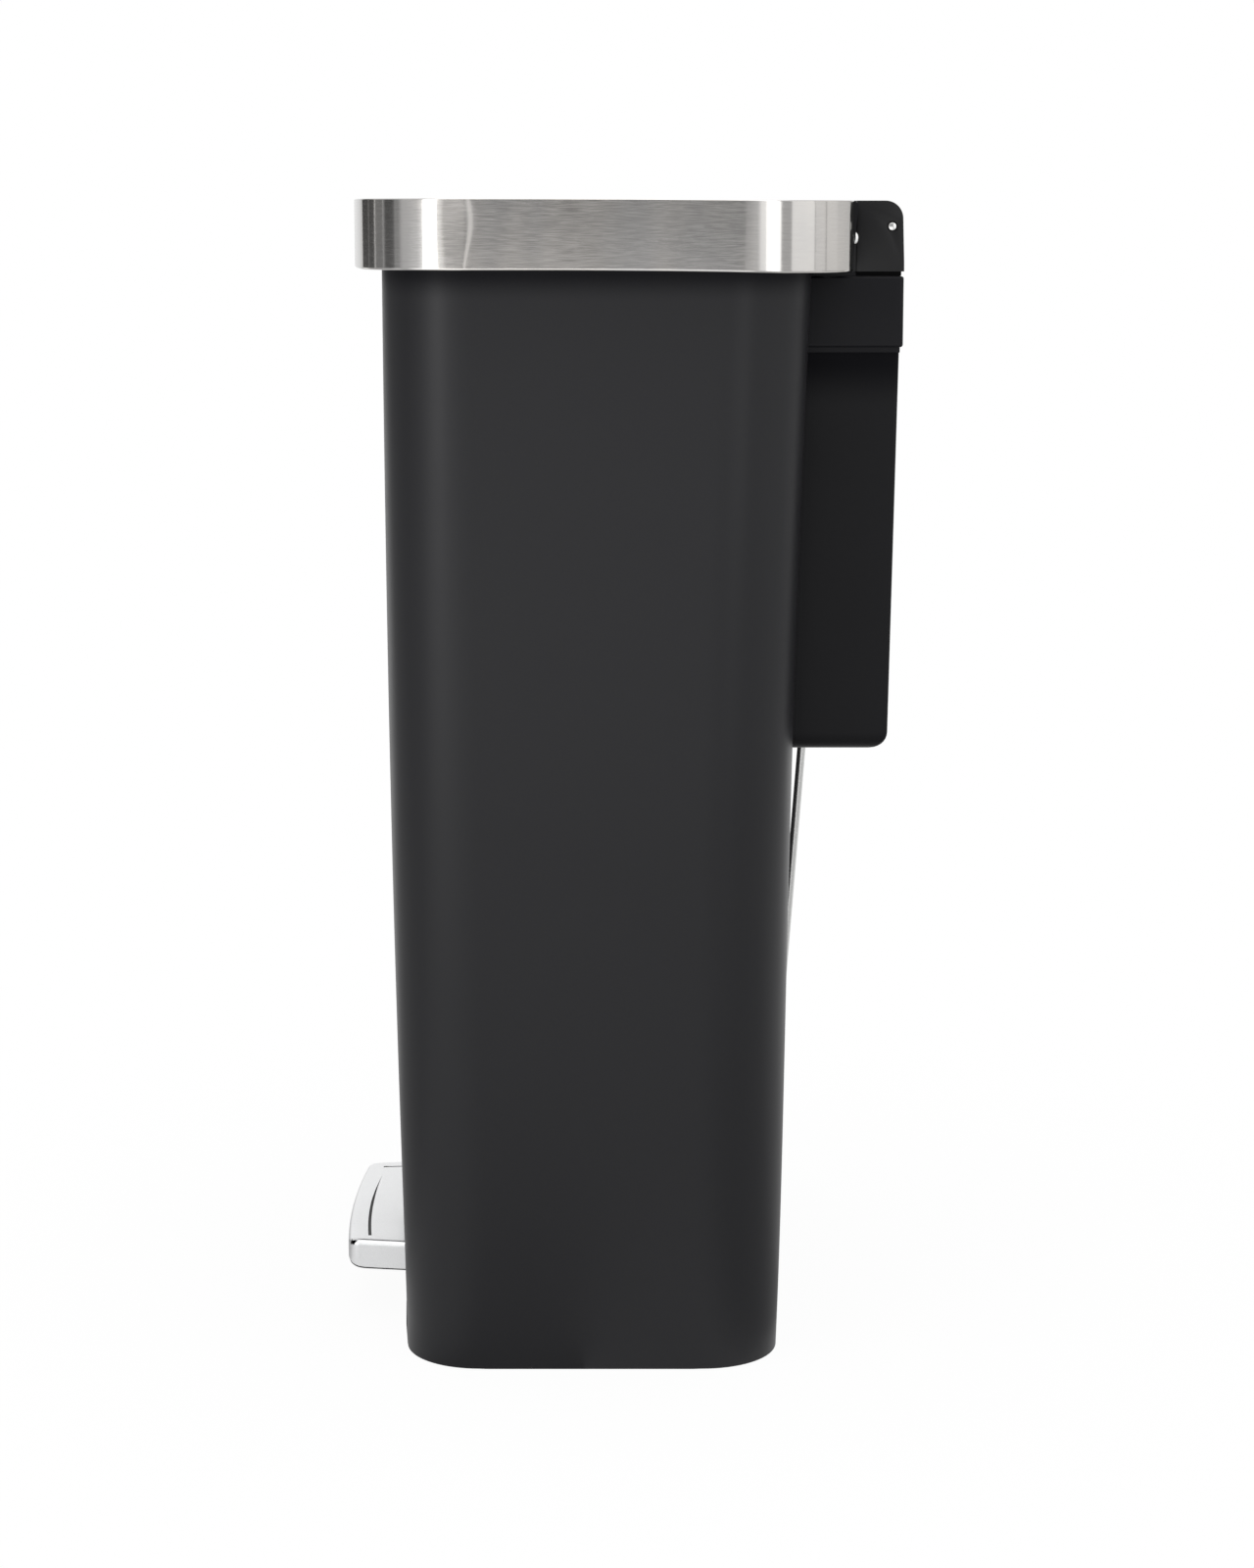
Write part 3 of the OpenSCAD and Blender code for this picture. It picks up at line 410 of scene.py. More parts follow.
class Sketch:
    """Adds and joins the nodes of one tree."""

    def __init__(self, tree: bpy.types.NodeTree) -> None:
        """Keeps the tree that nodes are added to."""
        self.tree = tree
        self.column = 0

    def add(
        self, kind: str, inputs: dict[str | int, Any] | None = None, **settings: Any
    ) -> bpy.types.Node:
        """Adds a node.

        Args:
            kind: Type of the node.
            inputs: Value or output socket for each input, by name or number.
            **settings: Properties of the node.

        Returns:
            The new node.
        """
        node = self.tree.nodes.new(kind)
        node.location = (self.column * 180, 0)
        self.column += 1
        for key, value in settings.items():
            setattr(node, key, value)
        for key, value in (inputs or {}).items():
            self.feed(node, key, value)
        return node

    def feed(self, node: bpy.types.Node, key: str | int, value: Any) -> None:
        """Sets an input to a value, or joins it to an output socket.

        Args:
            node: The node.
            key: Name or number of the input.
            value: The value or the output socket.
        """
        socket = node.inputs[key]
        if isinstance(value, bpy.types.NodeSocket):
            self.tree.links.new(value, socket)
        else:
            socket.default_value = value

    def group(self, tree: bpy.types.NodeTree, inputs: dict[str | int, Any]) -> Any:
        """Places a shader node group and gives its outputs."""
        return self.add("ShaderNodeGroup", inputs, node_tree=tree).outputs

    def math(self, operation: str, a: Any, b: Any = 0.0, clamp: bool = False) -> Socket:
        """Result of one arithmetic step."""
        inputs = {0: a, 1: b}
        return self.add("ShaderNodeMath", inputs, operation=operation, use_clamp=clamp).outputs[0]

    def product(self, a: Any, b: Any) -> Socket:
        """Two numbers multiplied."""
        return self.math("MULTIPLY", a, b)

    def triple(self, x: Any, y: Any, z: Any) -> Socket:
        """Vector from three numbers."""
        return self.add("ShaderNodeCombineXYZ", {"X": x, "Y": y, "Z": z}).outputs[0]

    def scaled(self, vector: Any, factors: Any) -> Socket:
        """A vector multiplied by another, part by part."""
        inputs = {0: vector, 1: factors}
        return self.add("ShaderNodeVectorMath", inputs, operation="MULTIPLY").outputs[0]

    def noise(self, place: Any, scale: Any, detail: float, **more: float) -> Socket:
        """Cloudy noise from nought to one."""
        inputs = {"Vector": place, "Scale": scale, "Detail": detail, **more}
        return self.add("ShaderNodeTexNoise", inputs).outputs["Fac"]

    def ramp(self, value: Any, low: float, high: float, to_low: float, to_high: float) -> Socket:
        """Maps a range of values to another, clamped, with a soft start and end.

        Args:
            value: What is mapped.
            low: Start of its range.
            high: End of its range.
            to_low: Result at the start.
            to_high: Result at the end.

        Returns:
            The socket with the result.
        """
        inputs = {
            "Value": value, "From Min": low, "From Max": high, "To Min": to_low, "To Max": to_high
        }
        return self.add("ShaderNodeMapRange", inputs, interpolation_type="SMOOTHSTEP").outputs[0]

    def mix(self, share: Any, a: Any, b: Any) -> Socket:
        """Mixes two colours."""
        return self.add("ShaderNodeMix", {0: share, 6: a, 7: b}, data_type="RGBA").outputs[2]

    def level(self, share: Any, a: Any, b: Any) -> Socket:
        """Mixes two levels."""
        return self.add("ShaderNodeMix", {0: share, 2: a, 3: b}, data_type="FLOAT").outputs[0]


FLOAT, VECTOR, MATERIAL = "NodeSocketFloat", "NodeSocketVector", "NodeSocketMaterial"


def add_inputs(tree: bpy.types.NodeTree, inputs: SocketTable) -> None:
    """Gives a tree its named inputs, each with a socket type and a default.

    Args:
        tree: The tree.
        inputs: Socket type and default of each input, by name.
    """
    for key, (kind, default) in inputs.items():
        socket = tree.interface.new_socket(key, in_out="INPUT", socket_type=kind)
        if default is not None:
            socket.default_value = default


def shader_group(
    name: str,
    inputs: SocketTable,
    outputs: Sequence[str],
    fill: Callable[[Sketch, Any], Sequence[Socket]],
) -> bpy.types.NodeTree:
    """Makes a shader node group that puts out numbers.

    Args:
        name: Name of the group.
        inputs: Socket type and default of each named input.
        outputs: Names of the outputs.
        fill: Draws the nodes and returns the socket for each output.

    Returns:
        The node group.
    """
    tree = bpy.data.node_groups.new(name, "ShaderNodeTree")
    add_inputs(tree, inputs)
    for key in outputs:
        tree.interface.new_socket(key, in_out="OUTPUT", socket_type=FLOAT)
    sketch = Sketch(tree)
    entry = sketch.add("NodeGroupInput").outputs
    results = fill(sketch, entry)
    sketch.add("NodeGroupOutput", dict(zip(outputs, results)))
    return tree


def tone(colour: Colour, factor: float = 1.0) -> tuple[float, float, float, float]:
    """A colour made lighter or darker by a factor, with full opacity."""
    return (*(min(1.0, part * factor) for part in colour), 1.0)


class Effects:
    """Shader node groups that more than one finish uses."""

    def __init__(self) -> None:
        """Builds each group once."""
        self.grain = shader_group(
            "moulded_grain",
            {"Vector": (VECTOR, None), "Cells per metre": (FLOAT, 1400.0), "Depth": (FLOAT, 1.0)},
            ("Height", "Hollows"),
            self._fill_grain,
        )
        self.brushing = shader_group(
            "brushed_lines",
            {
                "Vector": (VECTOR, None),
                "Lines per metre": (FLOAT, 2500.0),
                "Stretch": (FLOAT, 0.01),
            },
            ("Lines", "Height"),
            self._fill_brushing,
        )
        self.marks = shader_group(
            "handling_marks",
            {"Vector": (VECTOR, None), "Size": (FLOAT, 1.0), "Amount": (FLOAT, 0.5)},
            ("Smudge", "Scratch"),
            self._fill_marks,
        )
        self.dust = shader_group(
            "settled_dust",
            {"Vector": (VECTOR, None), "Normal": (VECTOR, None), "Amount": (FLOAT, 0.2)},
            ("Dust",),
            self._fill_dust,
        )

    def _fill_grain(self, sketch: Sketch, entry: Any) -> Sequence[Socket]:
        """Fine pebbled texture of a spark-eroded mould.

        Args:
            sketch: Sketch of the tree.
            entry: Sockets of the tree's inputs.

        Returns:
            Height, and where the hollows lie.
        """
        place, scale = entry["Vector"], entry["Cells per metre"]
        cells = sketch.add(
            "ShaderNodeTexVoronoi", {"Vector": place, "Scale": scale}, feature="SMOOTH_F1"
        ).outputs["Distance"]
        height = sketch.math("ADD", cells, sketch.noise(place, scale, 2.0))
        height = sketch.product(height, entry["Depth"])
        return height, sketch.ramp(cells, 0.1, 0.7, 1.0, 0.0)

    def _fill_brushing(self, sketch: Sketch, entry: Any) -> Sequence[Socket]:
        """Level hairlines: close together in height, long round the piece.

        Args:
            sketch: Sketch of the tree.
            entry: Sockets of the tree's inputs.

        Returns:
            Where the lines lie, and height.
        """
        stretch, scale = entry["Stretch"], entry["Lines per metre"]
        drawn_out = sketch.scaled(entry["Vector"], sketch.triple(stretch, stretch, 1.0))
        fine = sketch.noise(drawn_out, scale, 3.0, Roughness=0.7)
        coarse = sketch.noise(drawn_out, sketch.product(scale, 0.4), 2.0)
        lines = sketch.math("ADD", sketch.product(fine, 0.9), sketch.product(coarse, 0.1))
        return sketch.ramp(lines, 0.3, 0.7, 0.0, 1.0), lines

    def _fill_marks(self, sketch: Sketch, entry: Any) -> Sequence[Socket]:
        """Cloudy smudges of wiping, and a few thin scratches.

        Args:
            sketch: Sketch of the tree.
            entry: Sockets of the tree's inputs.

        Returns:
            Shares of smudge and scratch.
        """
        place, size, amount = entry["Vector"], entry["Size"], entry["Amount"]
        cloud = sketch.noise(place, sketch.product(size, 9.0), 5.0, Roughness=0.62)
        smudge = sketch.ramp(cloud, 0.42, 0.72, 0.0, 1.0)
        wave = sketch.noise(place, sketch.product(size, 60.0), 1.0, Distortion=2.2)
        close = sketch.math("ABSOLUTE", sketch.math("SUBTRACT", wave, 0.5))
        thin = sketch.ramp(close, 0.0, 0.006, 1.0, 0.0)
        sparse = sketch.ramp(cloud, 0.56, 0.7, 0.0, 1.0)
        scratch = sketch.product(sketch.product(thin, sparse), amount)
        return sketch.product(smudge, amount), scratch

    def _fill_dust(self, sketch: Sketch, entry: Any) -> Sequence[Socket]:
        """Thin dust on what faces up, broken into patches.

        Args:
            sketch: Sketch of the tree.
            entry: Sockets of the tree's inputs.

        Returns:
            Share of dust.
        """
        facing = sketch.add("ShaderNodeSeparateXYZ", {0: entry["Normal"]}).outputs["Z"]
        up = sketch.ramp(facing, 0.55, 0.98, 0.0, 1.0)
        patch = sketch.noise(entry["Vector"], 26.0, 6.0, Roughness=0.7)
        broken = sketch.ramp(patch, 0.38, 0.75, 0.25, 1.0)
        return (sketch.product(sketch.product(up, broken), entry["Amount"]),)


def new_material(name: str) -> tuple[bpy.types.Material, Sketch, bpy.types.Node]:
    """Starts a material.

    Args:
        name: Name of the material.

    Returns:
        The material, a sketch of its tree, and its Principled shader.
    """
    material = bpy.data.materials.new(name)
    material.use_nodes = True
    material.node_tree.nodes.clear()
    sketch = Sketch(material.node_tree)
    shader = sketch.add("ShaderNodeBsdfPrincipled")
    sketch.add("ShaderNodeOutputMaterial", {"Surface": shader.outputs[0]})
    return material, sketch, shader


class Metal(Enum):
    """How a metal surface was worked."""

    BRUSHED = "brushed"
    DRAWN = "drawn"
    PLATED = "plated"

    @property
    def stretch(self) -> float:
        """How the worked lines are drawn out round the piece; less is longer."""
        return 0.04 if self is Metal.BRUSHED else 0.2


@dataclass(frozen=True)
class PlasticFinish:
    """Moulded plastic or rubber: a colour, a sheen and the grain of its mould.

    A finish with painted shade has its sheen turned down between two heights: painted shade
    that stands in for the shadow of the piece above it.
    """

    name: str
    colour: Colour
    roughness: float
    grain_cells: float = 1500.0
    grain_depth: float = 0.02
    mottle: float = 0.12
    dust: float = 0.15
    marks: float = 0.5
    specular: float = 0.5
    painted_shade_heights: tuple[float, float] | None = None

    def material(self, effects: Effects) -> bpy.types.Material:
        """Builds the material.

        Args:
            effects: The shared node groups.

        Returns:
            The new material.
        """
        material, sketch, shader = new_material(self.name)
        place = sketch.add("ShaderNodeTexCoord").outputs["Object"]
        facing = sketch.add("ShaderNodeNewGeometry").outputs["Normal"]
        grain = sketch.group(effects.grain, {"Vector": place, "Cells per metre": self.grain_cells})
        marks = sketch.group(effects.marks, {"Vector": place, "Amount": self.marks})
        dust = sketch.group(effects.dust, {"Vector": place, "Normal": facing, "Amount": self.dust})
        shade = sketch.noise(place, 5.0, 4.0)
        dark, light = tone(self.colour, 1 - self.mottle), tone(self.colour, 1 + self.mottle)
        colour = sketch.mix(shade, dark, light)
        pores = sketch.product(grain["Hollows"], 0.25)
        colour = sketch.mix(pores, colour, tone(self.colour, 0.6))
        colour = sketch.mix(dust["Dust"], colour, DUST_COLOUR)
        sketch.feed(shader, "Base Color", colour)
        rough = sketch.math("MULTIPLY_ADD", marks["Smudge"], 0.12)
        rough.node.inputs[2].default_value = self.roughness
        rough = sketch.math("ADD", rough, sketch.product(dust["Dust"], 0.4), clamp=True)
        sketch.feed(shader, "Roughness", rough)
        shader.inputs["Specular IOR Level"].default_value = self.specular
        # Painted shade: the sheen falls between the two heights, in place of a cast shadow.
        if self.painted_shade_heights:
            low, high = self.painted_shade_heights
            height = sketch.add("ShaderNodeSeparateXYZ", {0: place}).outputs["Z"]
            sheen = sketch.ramp(height, low * MM, high * MM, self.specular, 0.2 * self.specular)
            sketch.feed(shader, "Specular IOR Level", sheen)
        bump = sketch.add("ShaderNodeBump", {"Height": grain["Height"], "Strength": 0.35})
        bump.inputs["Distance"].default_value = self.grain_depth * MM
        sketch.feed(shader, "Normal", bump.outputs[0])
        return material


@dataclass(frozen=True)
class MetalFinish:
    """Steel: its colour, how it was worked, and how it has been handled."""

    name: str
    colour: Colour
    roughness: float
    worked: Metal
    lines: float = 1500.0
    line_depth: float = 0.004
    marks: float = 0.4
    variation: float = 0.06
    anisotropic: float = 0.0
    patches: float = 0.0
    edge: float = 1.0

    def material(self, effects: Effects) -> bpy.types.Material:
        """Builds the material.

        Args:
            effects: The shared node groups.

        Returns:
            The new material.
        """
        material, sketch, shader = new_material(self.name)
        place = sketch.add("ShaderNodeTexCoord").outputs["Object"]
        marks = sketch.group(effects.marks, {"Vector": place, "Amount": self.marks})
        shader.inputs["Metallic"].default_value = 1.0
        shader.inputs["Specular Tint"].default_value = (self.edge, self.edge, self.edge, 1)
        share, height = self._pattern(sketch, effects, place)
        colour = sketch.mix(
            share, tone(self.colour, 1 - self.variation), tone(self.colour, 1 + self.variation)
        )
        if self.patches:
            colour = sketch.scaled(colour, self._tint(sketch, place))
        colour = sketch.mix(marks["Scratch"], colour, tone(self.colour, 0.75))
        sketch.feed(shader, "Base Color", colour)
        rough = sketch.ramp(share, 0.0, 1.0, self.roughness * 0.85, self.roughness * 1.15)
        rough = sketch.math("ADD", rough, sketch.product(marks["Smudge"], 0.08), clamp=True)
        sketch.feed(shader, "Roughness", rough)
        if self.anisotropic:
            tangent = sketch.add("ShaderNodeTangent", direction_type="RADIAL", axis="Z")
            sketch.feed(shader, "Tangent", tangent.outputs[0])
            shader.inputs["Anisotropic"].default_value = self.anisotropic
            shader.inputs["Anisotropic Rotation"].default_value = 0.25
        bump = sketch.add("ShaderNodeBump", {"Height": height, "Strength": 0.5})
        bump.inputs["Distance"].default_value = self.line_depth * MM
        sketch.feed(shader, "Normal", bump.outputs[0])
        return material

    def _pattern(self, sketch: Sketch, effects: Effects, place: Any) -> tuple[Socket, Socket]:
        """Marks of working: where they lie, and how high.

        Args:
            sketch: Sketch of the tree.
            effects: The shared node groups.
            place: Socket with the place in the piece.

        Returns:
            Sockets with where they lie and how high.
        """
        if self.worked is Metal.PLATED:
            pattern = sketch.group(
                effects.grain, {"Vector": place, "Cells per metre": self.lines}
            )
            return pattern["Hollows"], pattern["Height"]
        pattern = sketch.group(
            effects.brushing,
            {"Vector": place, "Lines per metre": self.lines, "Stretch": self.worked.stretch},
        )
        return pattern["Lines"], pattern["Height"]

    def _tint(self, sketch: Sketch, place: Any) -> Socket:
        """Wide warm and cool patches of rolled sheet.

        Args:
            sketch: Sketch of the tree.
            place: Socket with the place in the piece.

        Returns:
            The socket with the tint.
        """
        amount = self.patches
        cloud = sketch.noise(sketch.scaled(place, (1.0, 1.0, 0.35)), 26.0, 2.0)
        warm = (1 + amount, 1 + 0.8 * amount, 1 + 0.6 * amount, 1.0)
        cool = (1 - amount, 1 - 0.9 * amount, 1 - 0.7 * amount, 1.0)
        return sketch.mix(sketch.ramp(cloud, 0.35, 0.65, 0.0, 1.0), cool, warm)


MATT_TRIM = PlasticFinish(
    "matt_trim_plastic", (0.005, 0.005, 0.0068), 0.4,
    grain_cells=1700, grain_depth=0.008, mottle=0.1, dust=0.12, marks=0.4, specular=0.17,
)

FINISHES: dict[str, PlasticFinish | MetalFinish] = {
    # Painted shade: the body's sheen is turned down just under the rim band, in place of the
    # band's shadow.
    "body_plastic": PlasticFinish(
        "satin_body_plastic", (0.0112, 0.0112, 0.0131), 0.36,
        grain_depth=0.006, mottle=0.08, dust=0.08, marks=0.4, specular=0.28, painted_shade_heights=(596.0, 611.0),
    ),
    "trim_plastic": MATT_TRIM,
    "hinge_plastic": replace(
        MATT_TRIM, name="satin_hinge_plastic", colour=(0.0088, 0.0088, 0.0096),
        roughness=0.36, specular=0.24,
    ),
    # Painted shadow: a near-black finish with almost no sheen, for pieces set where only shade is
    # seen.
    "shadow_plastic": replace(
        MATT_TRIM, name="painted_shadow_plastic", colour=(0.0015, 0.0015, 0.0016),
        roughness=0.6, dust=0.02, marks=0.2, specular=0.05,
    ),
    # A copy of the trim finish with painted shade: its sheen is turned down just under the
    # housing's ledge, in place of the ledge's shadow.
    "pocket_plastic_painted_shade": replace(
        MATT_TRIM, name="matt_pocket_plastic", colour=(0.0049, 0.0049, 0.0062),
        painted_shade_heights=(535.0, 562.0),
    ),
    "lid_plastic": PlasticFinish(
        "satin_lid_plastic", (0.02, 0.02, 0.0215), 0.42, grain_cells=1400, mottle=0.1, dust=0.22
    ),
    "bush_plastic": PlasticFinish(
        "natural_acetal", (0.62, 0.58, 0.48), 0.4,
        grain_cells=900, grain_depth=0.01, mottle=0.04, dust=0.1,
    ),
    "damper_plastic": PlasticFinish(
        "damper_plastic", (0.02, 0.02, 0.022), 0.3, grain_cells=900, grain_depth=0.006, mottle=0.05
    ),
    "pad_rubber": PlasticFinish(
        "pad_rubber", (0.014, 0.014, 0.014), 0.75,
        grain_cells=1100, grain_depth=0.05, mottle=0.15, dust=0.3,
    ),
    "rim_steel": MetalFinish(
        "brushed_rim_steel", (0.602, 0.586, 0.567), 0.13, Metal.BRUSHED,
        lines=2300, line_depth=0.00012, marks=0.3, variation=0.045,
        anisotropic=0.75, patches=0.06, edge=0.68,
    ),
    "pedal_steel": MetalFinish(
        "satin_pedal_steel", (0.851, 0.856, 0.861), 0.38, Metal.PLATED,
        lines=2600, line_depth=0.003, marks=0.6, variation=0.05,
    ),
    "rod_steel": MetalFinish(
        "bright_drawn_steel", (0.72, 0.72, 0.71), 0.2, Metal.DRAWN, marks=0.5
    ),
    "lever_steel": MetalFinish(
        "galvanised_steel", (0.5, 0.51, 0.52), 0.45, Metal.PLATED,
        lines=260, line_depth=0.02, marks=0.8, variation=0.2,
    ),
    "screw_steel": MetalFinish(
        "zinc_plated_steel", (0.56, 0.56, 0.55), 0.32, Metal.PLATED, marks=0.7
    ),
}


class Palette:
    """The materials of the can, made once."""

    def __init__(self, effects: Effects) -> None:
        """Builds every material from its finish."""
        self.materials = {slot: finish.material(effects) for slot, finish in FINISHES.items()}

    def dress(self, piece: bpy.types.Object, slot: str) -> bpy.types.Object:
        """Gives a piece the material of a slot.

        Args:
            piece: The piece.
            slot: The slot.

        Returns:
            The same piece.
        """
        piece.data.materials.clear()
        piece.data.materials.append(self.materials[slot])
        for polygon in piece.data.polygons:
            polygon.material_index = 0
        return piece


# ---------------------------------------------------------------------------
# Geometry node trees
# ---------------------------------------------------------------------------


class GrowingTree:
    """Geometry Nodes tree that grows a piece from points, kept as a plain mesh.

    Each kind names its tree and inputs, and draws the nodes between them and the last two,
    Realize Instances and Set Material.
    """

    name = ""
    inputs: SocketTable = {}
    chained = True

    def __init__(self) -> None:
        """Builds the tree."""
        tree = bpy.data.node_groups.new(self.name, "GeometryNodeTree")
        geometry = "NodeSocketGeometry"
        ends = {"Geometry": (geometry, None)}, {"Material": (MATERIAL, None)}
        add_inputs(tree, {**ends[0], **self.inputs, **ends[1]})
        tree.interface.new_socket("Geometry", in_out="OUTPUT", socket_type=geometry)
        sketch = Sketch(tree)
        entry = sketch.add("NodeGroupInput").outputs
        real = sketch.add("GeometryNodeRealizeInstances", {0: self.draw(sketch, entry)})
        dressed = sketch.add(
            "GeometryNodeSetMaterial", {"Geometry": real.outputs[0], "Material": entry["Material"]}
        )
        sketch.add("NodeGroupOutput", {0: dressed.outputs[0]})
        self.tree = tree

    def draw(self, sketch: Sketch, entry: Any) -> Socket:
        """Draws the nodes of this kind.

        Args:
            sketch: Sketch of the tree.
            entry: Sockets of the tree's inputs.

        Returns:
            The socket with the grown geometry.
        """
        raise NotImplementedError

    def make(
        self,
        name: str,
        seeds: Sequence[Point3],
        material: bpy.types.Material,
        values: dict[str, Any],
    ) -> bpy.types.Object:
        """Runs the tree on points and keeps the result as a plain mesh.

        Args:
            name: Name of the piece.
            seeds: Points in millimetres, joined into a path if the kind is chained.
            material: Material of the piece.
            values: Value of each named input, lengths in metres.

        Returns:
            The piece.
        """
        mesh = bpy.data.meshes.new(name)
        edges = [(i, i + 1) for i in range(len(seeds) - 1)] if self.chained else []
        mesh.from_pydata([(x * MM, y * MM, z * MM) for x, y, z in seeds], edges, [])
        piece = bpy.data.objects.new(name, mesh)
        bpy.context.scene.collection.objects.link(piece)
        modifier = piece.modifiers.new("growth", "NODES")
        modifier.node_group = self.tree
        for item in self.tree.interface.items_tree:
            if item.in_out == "INPUT" and item.name != "Geometry":
                modifier[item.identifier] = {**values, "Material": material}[item.name]
        return settle(piece)


def sweep(sketch: Sketch, path: Socket, profile: Socket) -> Socket:
    """Carries a profile along a path, with its ends capped."""
    inputs = {"Curve": path, "Profile Curve": profile, "Fill Caps": True}
    return sketch.add("GeometryNodeCurveToMesh", inputs).outputs[0]


class SweptStrip(GrowingTree):
    """Tree that carries a thin rolled strip along a path, with its inside to the right."""

    name = "rolled_strip"
    inputs = {
        "Height": (FLOAT, 0.037),
        "Thickness": (FLOAT, 0.001),
        "Top return": (FLOAT, 0.005),
        "Foot return": (FLOAT, 0.003),
        "Top radius": (FLOAT, 0.002),
        "Foot radius": (FLOAT, 0.002),
    }
    least_radius = 0.00005
    arc_points = 7

    def draw(self, sketch: Sketch, entry: Any) -> Socket:
        """Draws the profile from the inputs, rounds its corners and sweeps it.

        Args:
            sketch: Sketch of the tree.
            entry: Sockets of the tree's inputs.

        Returns:
            The socket with the grown geometry.
        """
        height, sheet = entry["Height"], entry["Thickness"]
        top, foot = entry["Top return"], entry["Foot return"]
        top_r, foot_r = entry["Top radius"], entry["Foot radius"]
        inner_foot = sketch.math("SUBTRACT", height, sheet)
        end_r = sketch.product(sheet, 0.49)
        inner_top_r, inner_foot_r = (
            sketch.math("MAXIMUM", sketch.math("SUBTRACT", r, sheet), self.least_radius)
            for r in (top_r, foot_r)
        )
        corners: list[tuple[Any, Any, Any]] = [
            (0.0, 0.0, top_r),
            (top, 0.0, end_r),
            (top, sheet, end_r),
            (sheet, sheet, inner_top_r),
            (sheet, inner_foot, inner_foot_r),
            (foot, inner_foot, end_r),
            (foot, height, end_r),
            (0.0, height, foot_r),
        ]
        start = sketch.add(
            "GeometryNodeCurvePrimitiveCircle", {"Resolution": len(corners), "Radius": 1.0}
        )
        index = sketch.add("GeometryNodeInputIndex").outputs[0]
        spots = [sketch.triple(x, y, 0.0) for x, y, _ in corners]
        spot = self._switch(sketch, index, "VECTOR", spots)
        placed = sketch.add(
            "GeometryNodeSetPosition", {"Geometry": start.outputs[0], "Position": spot}
        )
        rounding = self._switch(sketch, index, "FLOAT", [r for _, _, r in corners])
        profile = sketch.add(
            "GeometryNodeFilletCurve",
            {"Curve": placed.outputs[0], "Count": self.arc_points, "Radius": rounding},
            mode="POLY",
        )
        path = sketch.add("GeometryNodeMeshToCurve", {0: entry["Geometry"]})
        level = sketch.add("GeometryNodeSetCurveNormal", {0: path.outputs[0]}, mode="Z_UP")
        return sweep(sketch, level.outputs[0], profile.outputs[0])

    def _switch(self, sketch: Sketch, index: Any, kind: str, items: Sequence[Any]) -> Socket:
        """Chooses one item by the number of the point.

        Args:
            sketch: Sketch of the tree.
            index: Socket with the number.
            kind: Data type of the items.
            items: Value or socket for each number.

        Returns:
            The socket with the chosen item.
        """
        node = sketch.add("GeometryNodeIndexSwitch", data_type=kind)
        while len(node.index_switch_items) < len(items):
            node.index_switch_items.new()
        for number, item in enumerate([index, *items]):
            sketch.feed(node, number, item)
        return node.outputs[0]


class RoundBar(GrowingTree):
    """Tree that carries a round bar along a path with its bends filleted."""

    name = "round_bar"
    inputs = {
        "Radius": (FLOAT, 0.0025),
        "Bend radius": (FLOAT, 0.006),
        "Sides": ("NodeSocketInt", 28),
    }
    bend_points = 10

    def draw(self, sketch: Sketch, entry: Any) -> Socket:
        """Rounds the bends of the path and sweeps a circle.

        Args:
            sketch: Sketch of the tree.
            entry: Sockets of the tree's inputs.

        Returns:
            The socket with the grown geometry.
        """
        path = sketch.add("GeometryNodeMeshToCurve", {0: entry["Geometry"]})
        bends = {"Count": self.bend_points, "Radius": entry["Bend radius"], "Limit Radius": True}
        bent = sketch.add(
            "GeometryNodeFilletCurve", {"Curve": path.outputs[0], **bends}, mode="POLY"
        )
        circle = sketch.add(
            "GeometryNodeCurvePrimitiveCircle",
            {"Resolution": entry["Sides"], "Radius": entry["Radius"]},
        )
        return sweep(sketch, bent.outputs[0], circle.outputs[0])


